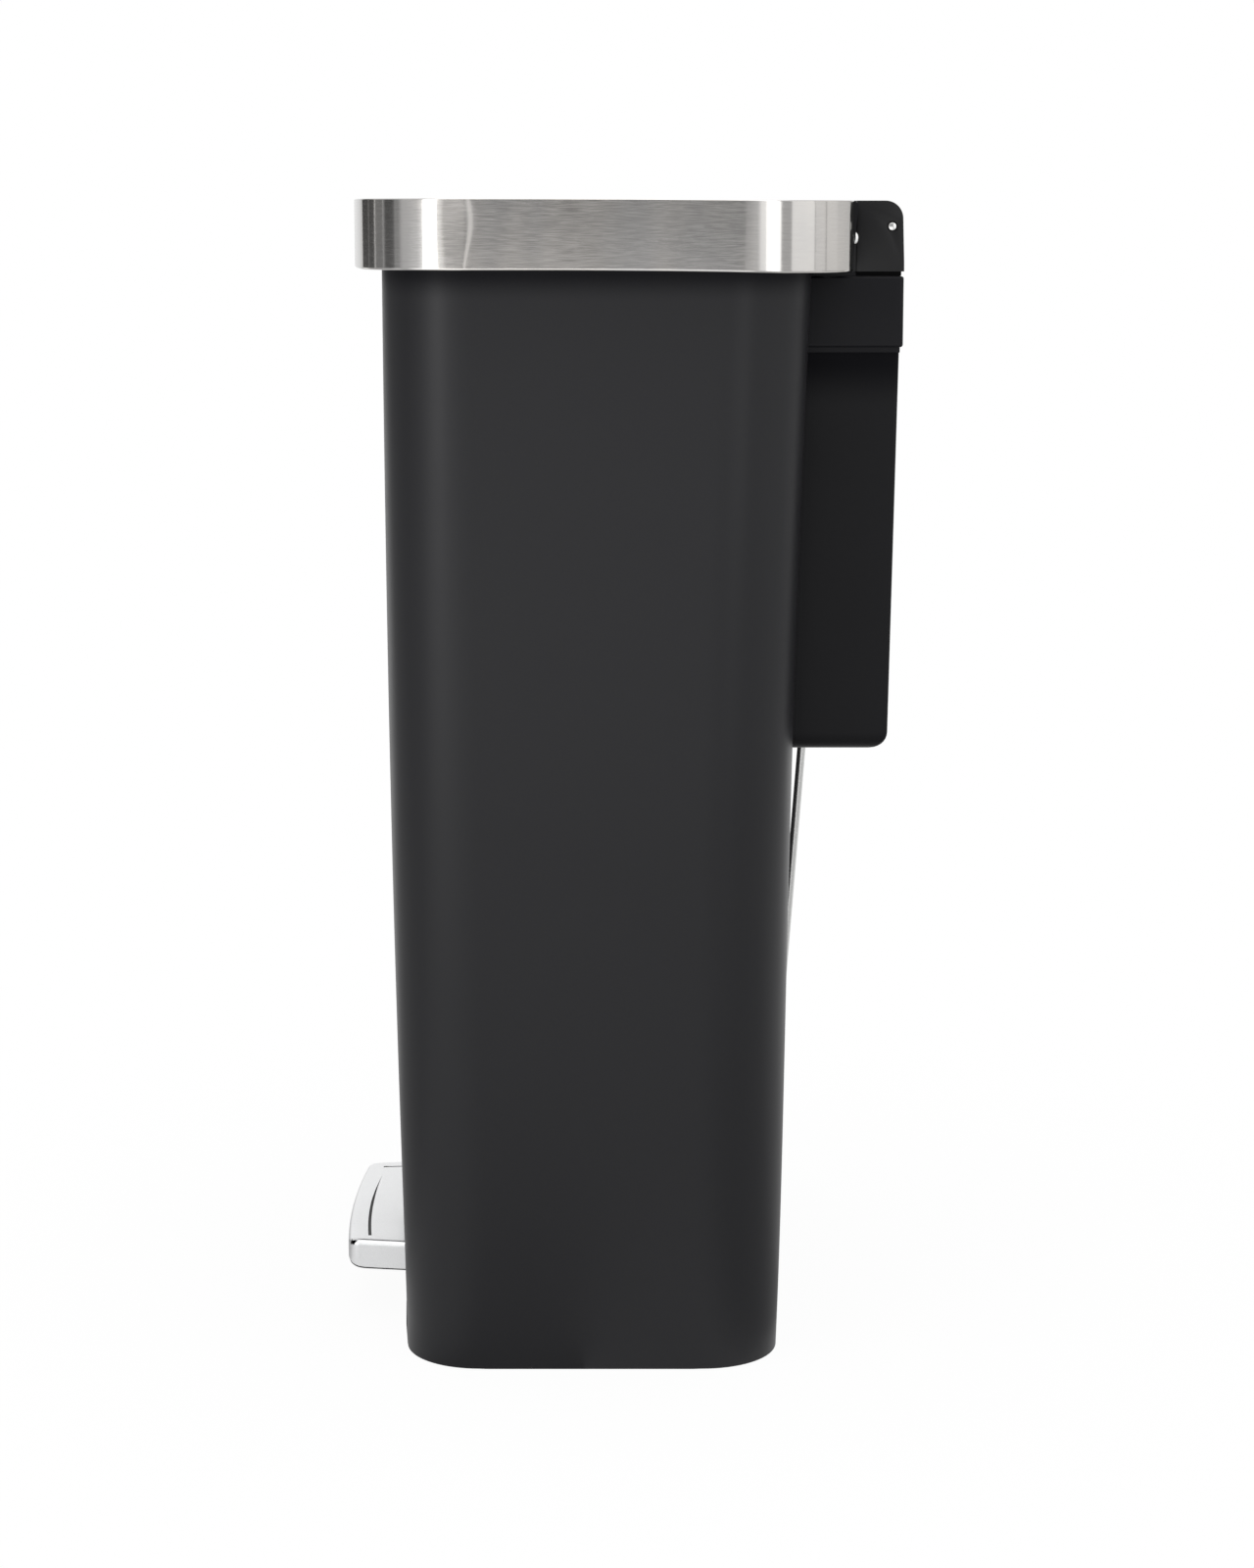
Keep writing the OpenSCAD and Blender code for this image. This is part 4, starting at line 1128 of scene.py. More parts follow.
class CrossHeadScrews(GrowingTree):
    """Tree that sets a pan head with a cross recess at each point."""

    name = "cross_head_screws"
    inputs = {
        "Head radius": (FLOAT, 0.0038),
        "Head height": (FLOAT, 0.0018),
        "Shank radius": (FLOAT, 0.0015),
        "Shank length": (FLOAT, 0.012),
        "Turn": (VECTOR, None),
    }
    chained = False

    def draw(self, sketch: Sketch, entry: Any) -> Socket:
        """Carves a dome into a head, hangs the shank on it and sets both at the points.

        Args:
            sketch: Sketch of the tree.
            entry: Sockets of the tree's inputs.

        Returns:
            The socket with the grown geometry.
        """
        whole = sketch.add("GeometryNodeJoinGeometry")
        for part in (self._head(sketch, entry), self._shank(sketch, entry)):
            sketch.tree.links.new(part, whole.inputs[0])
        points = sketch.add("GeometryNodeMeshToPoints", {"Mesh": entry["Geometry"]})
        aim = sketch.add("FunctionNodeEulerToRotation", {0: entry["Turn"]})
        return sketch.add(
            "GeometryNodeInstanceOnPoints",
            {
                "Points": points.outputs[0],
                "Instance": whole.outputs[0],
                "Rotation": aim.outputs[0],
            },
        ).outputs[0]

    def _moved(self, sketch: Sketch, shape: bpy.types.Node, height: Any) -> Socket:
        """A shape lifted to a height."""
        inputs = {"Geometry": shape.outputs[0], "Translation": sketch.triple(0.0, 0.0, height)}
        return sketch.add("GeometryNodeTransform", inputs).outputs[0]

    def _head(self, sketch: Sketch, entry: Any) -> Socket:
        """Half dome with a cross recess.

        Args:
            sketch: Sketch of the tree.
            entry: Sockets of the tree's inputs.

        Returns:
            The socket with the head.
        """
        radius, height = entry["Head radius"], entry["Head height"]
        dome = sketch.add("GeometryNodeMeshUVSphere", {"Segments": 32, "Rings": 16, "Radius": 1.0})
        flat = {"Geometry": dome.outputs[0], "Scale": sketch.triple(radius, radius, height)}
        head = sketch.add("GeometryNodeTransform", flat)
        span = sketch.product(radius, 4.0)
        wide, thin = sketch.product(radius, 1.1), sketch.product(radius, 0.24)
        deep = sketch.product(height, 1.3)
        half_below = sketch.product(radius, -2.0)
        cutters = (
            (span, span, span, half_below), (wide, thin, deep, height), (thin, wide, deep, height)
        )
        carved = sketch.add("GeometryNodeMeshBoolean", operation="DIFFERENCE", solver="EXACT")
        sketch.tree.links.new(head.outputs[0], carved.inputs["Mesh 1"])
        for *size, lift in cutters:
            cube = sketch.add("GeometryNodeMeshCube", {"Size": sketch.triple(*size)})
            sketch.tree.links.new(self._moved(sketch, cube, lift), carved.inputs["Mesh 2"])
        return carved.outputs[0]

    def _shank(self, sketch: Sketch, entry: Any) -> Socket:
        """Plain shank below the head.

        Args:
            sketch: Sketch of the tree.
            entry: Sockets of the tree's inputs.

        Returns:
            The socket with the shank.
        """
        length = entry["Shank length"]
        inputs = {"Vertices": 20, "Radius": entry["Shank radius"], "Depth": length}
        shank = sketch.add("GeometryNodeMeshCylinder", inputs)
        return self._moved(sketch, shank, sketch.product(length, -0.5))


@dataclass
class Workshop:
    """What every sub-assembly needs: the finishes and the growing trees."""

    palette: Palette
    strip: SweptStrip
    bar: RoundBar
    screws: CrossHeadScrews

    def finish_piece(
        self,
        piece: bpy.types.Object,
        slot: str,
        body: str,
        stands_for: Sequence[str],
        angle: float = 32,
        finish: str = "",
    ) -> bpy.types.Object:
        """Shades and dresses a piece, and fixes it to its body.

        Args:
            piece: The piece.
            slot: The record's material slot.
            body: The body that it rides on.
            stands_for: The solids that it replaces.
            angle: Edges sharper than this many degrees stay crisp.
            finish: A finish of its own, where it differs from the slot's.

        Returns:
            The piece.
        """
        smooth(piece, angle)
        self.palette.dress(piece, finish or slot)
        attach(piece, body)
        if stands_for:
            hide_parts(*stands_for)
        LOG.info("%s: %d faces, rides on %s", piece.name, len(piece.data.polygons), body)
        return piece


# ---------------------------------------------------------------------------
# Body
# ---------------------------------------------------------------------------


@dataclass(frozen=True)
class Port:
    """Opening with rounded corners through an upright wall, by its middle x and its edges."""

    x: float
    half: float
    low: float
    high: float
    corner_r: float

    def cutter(self, name: str, front: float, back: float) -> bpy.types.Object:
        """Straight cutter from front to back along y.

        Args:
            name: Name of the cutter.
            front: Where it starts along y.
            back: Where it ends along y.

        Returns:
            The cutter.
        """
        r = self.corner_r
        right, left = self.x + self.half - r, self.x - self.half + r
        high, low = self.high - r, self.low + r
        ring = arc((right, high), r, 0, 90, 8) + arc((left, high), r, 90, 180, 8)
        ring += arc((left, low), r, 180, 270, 8) + arc((right, low), r, 270, 360, 8)
        return loft(name, [[(x, y, z) for x, z in ring] for y in (front, back)])


@dataclass
class BodyShell:
    """Tapered moulded body with the pedal's opening, the rod's channel and liner windows."""

    shop: Workshop
    top_half: float = 190.0
    front_top: float = -116.65
    back_top: float = 124.25
    height: float = 614.0
    side_taper: float = 14.0
    front_taper: float = 8.25
    front_power: float = 2.5
    back_taper: float = 14.6
    back_belly: float = 8.0
    low_bulge: float = 19.0
    corner_r: float = 49.0
    corner_tightening: float = 6.0
    bow_r: float = 930.0
    bow_slope: float = 4.0
    bow_flattening: float = 420.0
    foot_power: float = 12.0
    foot: float = 0.15
    edge_r: float = 1.2
    edge_spans: int = 5
    levels: int = 40
    corner_spans: int = 18
    wall: float = 2.5
    floor: float = 84.0
    opening: Port = Port(0.0, 88.0, 8.0, 52.0, 5.0)
    opening_depth: float = -80.0
    windows: tuple[Port, ...] = (
        Port(-60.0, 40.0, 475.1, 531.1, 12.0),
        Port(60.0, 40.0, 475.1, 531.1, 12.0),
    )
    channel_half: float = 8.0
    channel_line: tuple[Point2, ...] = ((84.3, 92.0), (103.5, 142.0), (114.6, 270.0))

    def outline(self, z: float, inset: float = 0.0) -> Outline:
        """The body's outline at a height.

        Args:
            z: The height.
            inset: How far it is drawn inwards.

        Returns:
            The outline.
        """
        down = 1 - z / self.height
        near_foot = max(down, 0.0) ** self.foot_power
        front = self.front_top + self.front_taper * max(down, 0.0) ** self.front_power
        back = self.back_top - (self.back_taper + self.back_belly) * down
        back += self.back_belly * down * down
        back += self.low_bulge * down**4 * (1 - down)
        bow = self.bow_r + self.bow_flattening * near_foot
        corner = self.corner_r - self.corner_tightening * near_foot
        half = self.top_half - self.side_taper * down
        return Outline(half, front, back, corner, corner, bow, self.bow_slope).inset(inset)

    def form(
        self, name: str, inset: float, low: float, high: float, levels: int, spans: int
    ) -> bpy.types.Object:
        """Solid between two heights, drawn in from the body's outside.

        Args:
            name: Name of the solid.
            inset: How far it is drawn in.
            low: Height of its foot.
            high: Height of its top.
            levels: How many lofted levels lie between them.
            spans: Spans in each corner.

        Returns:
            The solid.
        """
        heights = [low + (high - low) * i / levels for i in range(levels + 1)]
        return loft(name, [at_height(self.outline(z, inset).closed(spans), z) for z in heights])

    def outside(self, name: str) -> bpy.types.Object:
        """The whole outer form, with its foot edge rounded.

        Args:
            name: Name of the solid.

        Returns:
            The solid.
        """
        rings = []
        for rise, inset in quarter(self.edge_r, self.edge_spans)[:-1]:
            z = self.foot + rise
            rings.append(at_height(self.outline(z, inset).closed(self.corner_spans), z))
        low = self.foot + self.edge_r
        for i in range(self.levels + 1):
            z = low + (self.height - low) * i / self.levels
            rings.append(at_height(self.outline(z).closed(self.corner_spans), z))
        return loft(name, rings)

    def channel(self, name: str, grow: float, low: float) -> bpy.types.Object:
        """Form of the channel that the rod runs in, grown all round and cut off at a height.

        Args:
            name: Name of the solid.
            grow: How far it is grown all round.
            low: Height where it is cut off.

        Returns:
            The form.
        """
        line = [(y - grow, z + grow) for y, z in self.channel_line]
        back, half = self.back_top + 10, self.channel_half + grow
        profile = [(line[0][0], low), *line, (back, line[-1][1]), (back, low)]
        return side_slab(name, profile, -half, half)

    def build(self) -> None:
        """Makes the body."""
        cavity = self.form("cavity", self.wall, self.floor + self.wall, self.height + 1, 14, 12)
        cut(cavity, self.channel("channel_wall", self.wall, self.floor))
        works = self.form("works", self.wall, self.foot - 1, self.floor, 3, 12)
        piece = self.outside("body_shell")
        cut(piece, cavity)
        cut(piece, works)
        cut(piece, self.channel("channel", 0, self.floor - 4))
        cut(piece, self.opening.cutter("port", self.front_top - 20, self.opening_depth))
        for window in self.windows:
            cut(piece, window.cutter("window", self.back_top - 30, self.back_top + 10))
        self.shop.finish_piece(piece, "body_plastic", "root", ["outer_body"])


# ---------------------------------------------------------------------------
# Rim
# ---------------------------------------------------------------------------


@dataclass
class SteelRim:
    """Brushed band, rolled in at its top and foot, carried round the rim's outline."""

    shop: Workshop
    outline: Outline = Outline(205.0, -131.95, 146.4, 62.4, 60.4, 944.5)
    end_x: float = 125.0
    top: float = 650.0
    height: float = 37.3
    sheet: float = 1.0
    top_return: float = 5.0
    foot_return: float = 3.2
    top_r: float = 0.6
    foot_r: float = 1.1
    foot_drop: float = 1.5
    top_drop: float = 0.9
    drop_start: float = -45.0
    drop_run: float = 150.0
    crease: float = 2.6
    crease_y: float = -58.0
    crease_width: float = 8.0
    crease_swing: float = 1.35
    crease_phase: float = 0.42
    side: float = 190.0

    def settle_shape(self, piece: bpy.types.Object) -> None:
        """Lets the band droop towards the back and sets a crease in each side, as pressed.

        Args:
            piece: The swept band, a plain mesh in metres.
        """
        mesh = bmesh.new()
        mesh.from_mesh(piece.data)
        upright = [e for e in mesh.edges if abs(e.verts[0].co.z - e.verts[1].co.z) > 0.02]
        bmesh.ops.subdivide_edges(mesh, edges=upright, cuts=9, use_grid_fill=True)
        foot = self.top - self.height
        for z in (self.top - self.top_r - 0.2, foot + self.foot_r + 0.2):
            every = list(mesh.verts) + list(mesh.edges) + list(mesh.faces)
            bmesh.ops.bisect_plane(mesh, geom=every, plane_co=(0, 0, z * MM), plane_no=(0, 0, 1))
        for vertex in mesh.verts:
            x, y, z = vertex.co
            up = min(max((z - foot * MM) / (self.height * MM), 0.0), 1.0)
            back = min(max((y / MM - self.drop_start) / self.drop_run, 0.0), 1.0)
            if abs(x) > self.side * MM:
                near = math.exp(-(((y / MM - self.crease_y) / self.crease_width) ** 2))
                swing = math.sin(math.pi * (self.crease_swing * up - self.crease_phase))
                vertex.co.y = y + self.crease * MM * swing * near
            drop = self.foot_drop * back**3 * (1 - up) + self.top_drop * back**2 * up
            vertex.co.z = z - MM * drop
        mesh.to_mesh(piece.data)
        mesh.free()

    def build(self) -> None:
        """Makes the band."""
        piece = self.shop.strip.make(
            "rim_band_sheet",
            at_height(self.outline.open_path(self.end_x), self.top),
            self.shop.palette.materials["rim_steel"],
            {
                "Height": self.height * MM,
                "Thickness": self.sheet * MM,
                "Top return": self.top_return * MM,
                "Foot return": self.foot_return * MM,
                "Top radius": self.top_r * MM,
                "Foot radius": self.foot_r * MM,
            },
        )
        self.settle_shape(piece)
        self.shop.finish_piece(piece, "rim_steel", "rim", ["rim_band"], 50)


# ---------------------------------------------------------------------------
# Lid
# ---------------------------------------------------------------------------


@dataclass
class CrownedLid:
    """Moulded lid: a crowned plate with a rounded edge, a skirt, and an apron to the hinge."""

    shop: Workshop
    outline: Outline = Outline(195.8, -122.75, 130.95, 51.8, 55.0, 935.3)
    top: float = 648.6
    crown: float = 0.9
    crown_rings: int = 20
    plate: float = 2.6
    skirt_low: float = 622.0
    skirt_wall: float = 2.2
    skirt_bevel: float = 0.5
    edge_r: float = 2.0
    apron_half: float = 110.0
    apron_lap: float = 9.0
    apron_back: float = 145.15
    apron_drop: float = 0.75

    def ring(self, inset: float, z: float) -> list[Point3]:
        """Outline of the lid drawn inwards, at a height."""
        return at_height(self.outline.inset(inset).closed(16), z)

    def shrunk(self, share: float, z: float) -> list[Point3]:
        """Outline of the lid drawn towards its middle, at a height.

        Args:
            share: How far towards the middle, from nought to one.
            z: The height.

        Returns:
            The points in order.
        """
        first = self.outline.inset(self.edge_r).closed(16)
        mid = 0.5 * (self.outline.front + self.outline.back)
        return [(x * (1 - share), mid + (y - mid) * (1 - share), z) for x, y in first]

    def build(self) -> None:
        """Makes the lid."""
        under, low, bevel = self.top - self.plate, self.skirt_low, self.skirt_bevel
        rings = [self.ring(self.skirt_wall, under), self.ring(self.skirt_wall, low)]
        rings += [self.ring(bevel, low), self.ring(0, low + bevel)]
        edge_top = self.top - self.crown
        for inset, drop in quarter(self.edge_r, 6):
            rings.append(self.ring(inset, edge_top - drop))
        for i in range(1, self.crown_rings):
            share = i / self.crown_rings
            rise = self.crown * math.sin(math.radians(90 * share))
            rings.append(self.shrunk(share, edge_top + rise))
        piece = loft("lid_crowned_shell", rings)
        fuse(piece, self._apron(under))
        self.shop.finish_piece(piece, "lid_plastic", "lid", ["lid_shell"])

    def _apron(self, under: float) -> bpy.types.Object:
        """Flat tongue between the lid's back edge and the hinge.

        Args:
            under: Height of the plate's underside.

        Returns:
            The tongue.
        """
        front, back = self.outline.back - self.apron_lap, self.apron_back
        high = self.top - self.apron_drop
        profile = [
            (front, under), (back, under), (back, self.top - 1.6), (back - 1, high), (front, high)
        ]
        return side_slab("apron", profile, -self.apron_half, self.apron_half)


# ---------------------------------------------------------------------------
# Rear
# ---------------------------------------------------------------------------


@dataclass
class HingeBlock:
    """Moulded block behind the rim with slots for the lid's two arms and its crank."""

    shop: Workshop
    front: float = 146.95
    back: float = 176.05
    low: float = 610.8
    top: float = 649.25
    half: float = 115.5
    radius: float = 9.8
    front_r: float = 3.0
    wall: float = 2.5
    cheek: float = 4.0
    back_line: tuple[Point2, ...] = ((0.5, 0.0), (0.45, 5.0), (0.1, 16.0))
    back_set_in: float = 0.35
    slots: tuple[Point2, ...] = ((-66.0, 7.5), (66.0, 7.5), (0.0, 11.4))
    slot_drop: float = 6.0
    strip: float = 3.5
    strip_depth: float = 0.7
    strip_drop: float = 1.8
    groove: float = 0.7
    groove_depth: float = 1.5
    plinth_drop: float = 2.4
    plinth_inset: float = 1.8
    pin_y: float = 169.75
    pin_z: float = 635.3
    pin_hole_r: float = 2.95
    pin_line: tuple[Point2, ...] = ((115.1, 2.4), (115.7, 2.1), (115.9, 1.6))
    pivot_y: float = 149.35
    pivot_z: float = 629.0
    pivot_line: tuple[Point2, ...] = (
        (103.0, 1.6), (103.4, 2.0), (115.0, 2.0), (115.0, 3.1),
        (115.3, 3.25), (115.7, 3.1), (115.9, 2.6), (116.0, 1.0),
    )
    pivot_head_x: float = 114.9
    pivot_head_squash: float = 0.55

    def profile(self, inset: float) -> list[Point2]:
        """Side outline of the block as (y, z) points.

        Args:
            inset: How far it is drawn inwards.

        Returns:
            The points in order.
        """
        r = self.radius - inset
        top, back = self.top - inset, self.back - inset
        points = [(back + y, self.low + z) for y, z in self.back_line]
        points += arc((back - self.back_set_in - r, top - r), r, 0, 90, 16)
        points += arc((self.front + self.front_r, top - self.front_r), self.front_r, 90, 180, 8)
        return points + [(self.front, self.low)]

    def build(self) -> None:
        """Makes the block, its pins, and below it a near-black plinth: painted shadow in the gap.
        """
        piece = side_slab("hinge_block_shell", self.profile(0), -self.half, self.half)
        cut(piece, self._hollow())
        ahead, behind = self.front - 5, self.back + 5
        for x, half in self.slots:
            low = (x - half, ahead, self.pin_z - self.slot_drop)
            cut(piece, block("slot", low, (x + half, behind, self.top + 5)))
        for side in (-1, 1):
            self._step(piece, side)
        soften(piece, 0.9)
        self.shop.finish_piece(
            piece, "trim_plastic", "root", ["hinge_block"], 40, "hinge_plastic"
        )
        # Painted shadow: a near-black plinth fills the gap between the block and the housing,
        # where only shade is seen.
        edge = self.half - self.plinth_inset
        plinth = block(
            "hinge_block_shadow_plinth",
            (-edge, self.front + 3, self.low - self.plinth_drop),
            (edge, self.back - 0.9, self.low + 0.6),
        )
        soften(plinth, 0.4)
        self.shop.finish_piece(plinth, "trim_plastic", "root", [], 40, "shadow_plastic")
        self._pins()

    def _hollow(self) -> bpy.types.Object:
        """Cutter for the inside, open to the front and below.

        Returns:
            The cutter.
        """
        inner = []
        for y, z in self.profile(self.wall):
            y = y if y > self.front + 4 else self.front - 5
            inner.append((y, z if z > self.low + 1 else self.low - 1))
        half = self.half - self.cheek
        return side_slab("hollow", inner, -half, half)

    def _step(self, piece: bpy.types.Object, side: int) -> None:
        """Cuts one cheek's set-back front strip, the groove behind it and the lid pin's hole.

        Args:
            piece: The block.
            side: 1 for the cheek at +X, -1 for the other.
        """
        ahead, edge = self.front - 5, self.front + self.strip
        below, above = self.low - 1, self.top + 1
        for name, y0, y1, z0, depth in (
            ("strip", ahead, edge, below, self.strip_depth),
            ("groove", edge - self.groove, edge, below, self.groove_depth),
            ("lowered", ahead, edge - 0.2, self.top - self.strip_drop, 12.0),
        ):
            x0, x1 = self._into_cheek(side, depth)
            cut(piece, block(name, (x0, y0, z0), (x1, y1, above)))
        x0, x1 = self._into_cheek(side, 1.4)
        ends = ((x0, self.pin_y, self.pin_z), (x1, self.pin_y, self.pin_z))
        cut(piece, drill("hole", *ends, self.pin_hole_r))

    def _into_cheek(self, side: int, depth: float) -> list[float]:
        """The two x of a cut from outside a cheek to a depth in it."""
        return sorted((side * (self.half - depth), side * (self.half + 3)))

    def _pins(self) -> None:
        """The lid's pin and the rim's two pivot pins, with rounded heads."""
        stations = [(-x, r) for x, r in reversed(self.pin_line)] + list(self.pin_line)
        pin = self._turned("lid_pin_rod", self.pin_y, self.pin_z, stations)
        self.shop.finish_piece(pin, "rod_steel", "root", ["lid_hinge_pin"])
        heads = []
        for side in (-1, 1):
            stations = [(side * x, r) for x, r in self.pivot_line]
            head = self._turned("rim_pins", self.pivot_y, self.pivot_z, stations)
            middle = self.pivot_y * MM
            for vertex in head.data.vertices:
                if abs(vertex.co.x) > self.pivot_head_x * MM:
                    vertex.co.y = middle + self.pivot_head_squash * (vertex.co.y - middle)
            heads.append(head)
        pins = fuse(heads[0], heads[1])
        self.shop.finish_piece(pins, "rod_steel", "root", ["rim_pivot_pins"])

    def _turned(
        self, name: str, y: float, z: float, stations: Sequence[Point2]
    ) -> bpy.types.Object:
        """Round bar along x through (x, radius) stations.

        Args:
            name: Name of the solid.
            y: The bar's y.
            z: The bar's height.
            stations: The stations in order.

        Returns:
            The bar.
        """
        turns = [2 * math.pi * i / 40 for i in range(40)]
        rings = [
            [(x, y + r * math.cos(turn), z + r * math.sin(turn)) for turn in turns]
            for x, r in stations
        ]
        return loft(name, rings)


@dataclass
class LinerStore:
    """Stepped housing and the pocket below it, trimmed to the body's back."""

    shop: Workshop
    body: BodyShell
    half: float = 115.5
    back: float = 176.55
    corner_r: float = 2.0
    wall: float = 2.2
    housing_top: float = 608.2
    housing_low: float = 569.4
    ledge: float = 2.2
    ledge_edge: tuple[Point2, ...] = ((0.2, 0.9), (0.6, 0.5))
    ledge_set_in: float = 0.6
    shoulder_r: float = 1.5
    lip_r: float = 1.3
    pocket_low: float = 343.2
    pocket_top: float = 602.9
    pocket_gap: float = 0.3
    pocket_swell: float = 0.6
    pocket_taper: float = 3.6
    pocket_side_taper: float = 2.2
    pocket_floor: float = 2.5
    foot_r: float = 10.3
    tunnel_half: float = 9.0
    tunnel_wall: float = 2.0
    rod_foot: Point2 = (112.7, 110.0)
    rod_lean: float = 0.0733
    rod_room: float = 6.0

    def plan(self, half: float, back: float, corner: float, z: float) -> list[Point3]:
        """Outline of the rear box at a height, open into the body's back.

        Args:
            half: Half of its width.
            back: Its furthest y.
            corner: Radius of its corners.
            z: The height.

        Returns:
            The points in order.
        """
        start = self.body.back_top - 40
        run, reach = back - corner - start, half - corner
        ring = [(-half, start), (half, start)]
        ring += [(half, start + run * s) for s in (0.9, 0.97)]
        ring += arc((reach, back - corner), corner, 0, 90, 10)
        ring += [(x * reach, back) for x in (0.97, 0.5, 0, -0.5, -0.97)]
        ring += arc((-half + corner, back - corner), corner, 90, 180, 10)
        ring += [(-half, start + run * s) for s in (0.97, 0.9)]
        return at_height(ring, z)

    def housing_ring(self, inset: float, z: float) -> list[Point3]:
        """Outline of the housing at a height."""
        corner = max(self.corner_r - inset, 1.0)
        return self.plan(self.half - inset, self.back - inset, corner, z)

    def pocket_ring(self, inset: float, z: float, low: float, r: float) -> list[Point3]:
        """Outline of the pocket at a height, with its lower edge rounded.

        Args:
            inset: How far it is drawn in.
            z: The height.
            low: Height of the pocket's foot.
            r: Radius of its lower edge.

        Returns:
            The points in order.
        """
        rounding = 0.0
        if z < low + r:
            rounding = r - math.sqrt(max(r * r - (r - (z - low)) ** 2, 0.0))
        lean = max(self.housing_low - z, 0.0) / (self.housing_low - self.pocket_low)
        half = self.half - self.wall - self.pocket_gap - self.pocket_side_taper * lean
        swell = self.pocket_swell if lean else 0.0
        back = self.back - self.wall - self.pocket_gap + swell - self.pocket_taper * lean
        corner = max(self.corner_r - inset, 1.0)
        return self.plan(half - inset - rounding, back - inset - rounding, corner, z)

    def build(self) -> None:
        """Makes the housing and the pocket."""
        self._housing()
        self._pocket()

    def _housing(self) -> None:
        """The stepped housing."""
        top, low, ledge = self.housing_top, self.housing_low, self.ledge
        rings = [
            self.housing_ring(ledge - out, low - ledge - drop) for out, drop in self.ledge_edge
        ]
        rings.append(self.housing_ring(ledge - self.ledge_set_in, low))
        for rise, inset in quarter(self.shoulder_r, 5):
            rings.append(self.housing_ring(inset, low + rise))
        for inset, drop in quarter(self.lip_r, 5):
            rings.append(self.housing_ring(inset, top - drop))
        piece = loft("rear_housing_cover", rings)
        ends = (low - 10, top - self.wall)
        cut(piece, loft("hollow", [self.housing_ring(self.wall, z) for z in ends]))
        cut(piece, self.body.form("body_side", -0.3, 500, 644, 12, 18))
        cut(piece, block("rod_slot", (-4.5, 136, top - 8), (4.5, 153, top + 20)))
        self.shop.finish_piece(piece, "trim_plastic", "root", ["rear_housing"])

    def _pocket(self) -> None:
        """The liner pocket with the rod's tunnel."""
        low, r = self.pocket_low, self.foot_r
        heights = [low + rise for rise, _ in quarter(r, 8)[:-1]]
        heights += [low + r + (self.pocket_top - low - r) * i / 14 for i in range(15)]
        piece = loft("liner_pocket_shell", [self.pocket_ring(0, z, low, r) for z in heights])
        floor, inner_r = low + self.pocket_floor, r - self.wall
        heights = [floor + rise for rise, _ in quarter(inner_r, 5)[:-1]]
        heights += [floor + r, self.housing_low, self.pocket_top + 5]
        rings = [self.pocket_ring(self.wall, z, floor, inner_r) for z in heights]
        hollow = loft("hollow", rings)
        cut(hollow, self._tunnel("tunnel_wall", self.tunnel_wall, floor - 1))
        cut(piece, hollow)
        cut(piece, self._tunnel("tunnel", 0, low - 1))
        cut(piece, self.body.form("body_side", -0.3, low - 20, 640, 12, 18))
        # The pocket takes the trim finish with painted shade under the ledge.
        self.shop.finish_piece(
            piece, "trim_plastic", "root", ["liner_pocket"], 32, "pocket_plastic_painted_shade"
        )

    def _tunnel(self, name: str, grow: float, low: float) -> bpy.types.Object:
        """Space for the rod on its way up, grown by a wall and cut off at a height.

        Args:
            name: Name of the solid.
            grow: How far it is grown all round.
            low: Height where it is cut off.

        Returns:
            The space as a solid.
        """
        ends = (low, 613.0)
        start, half = self.body.back_top - 60, self.tunnel_half + grow
        foot_y, foot_z = self.rod_foot
        back_low, back_high = (
            (foot_y + self.rod_lean * (z - foot_z) + self.rod_room + grow, z) for z in ends
        )
        profile = [(start, ends[0]), back_low, back_high, (start, ends[1])]
        return side_slab(name, profile, -half, half)


# ---------------------------------------------------------------------------
# Pedal works
# ---------------------------------------------------------------------------


@dataclass(frozen=True)
class SideSlot:
    """Slot along one side of the tread, by its start and by offsets from there."""

    start: Point2
    toe: tuple[Point2, ...]
    back_xs: Point2
    heel: tuple[Point2, ...] = ()


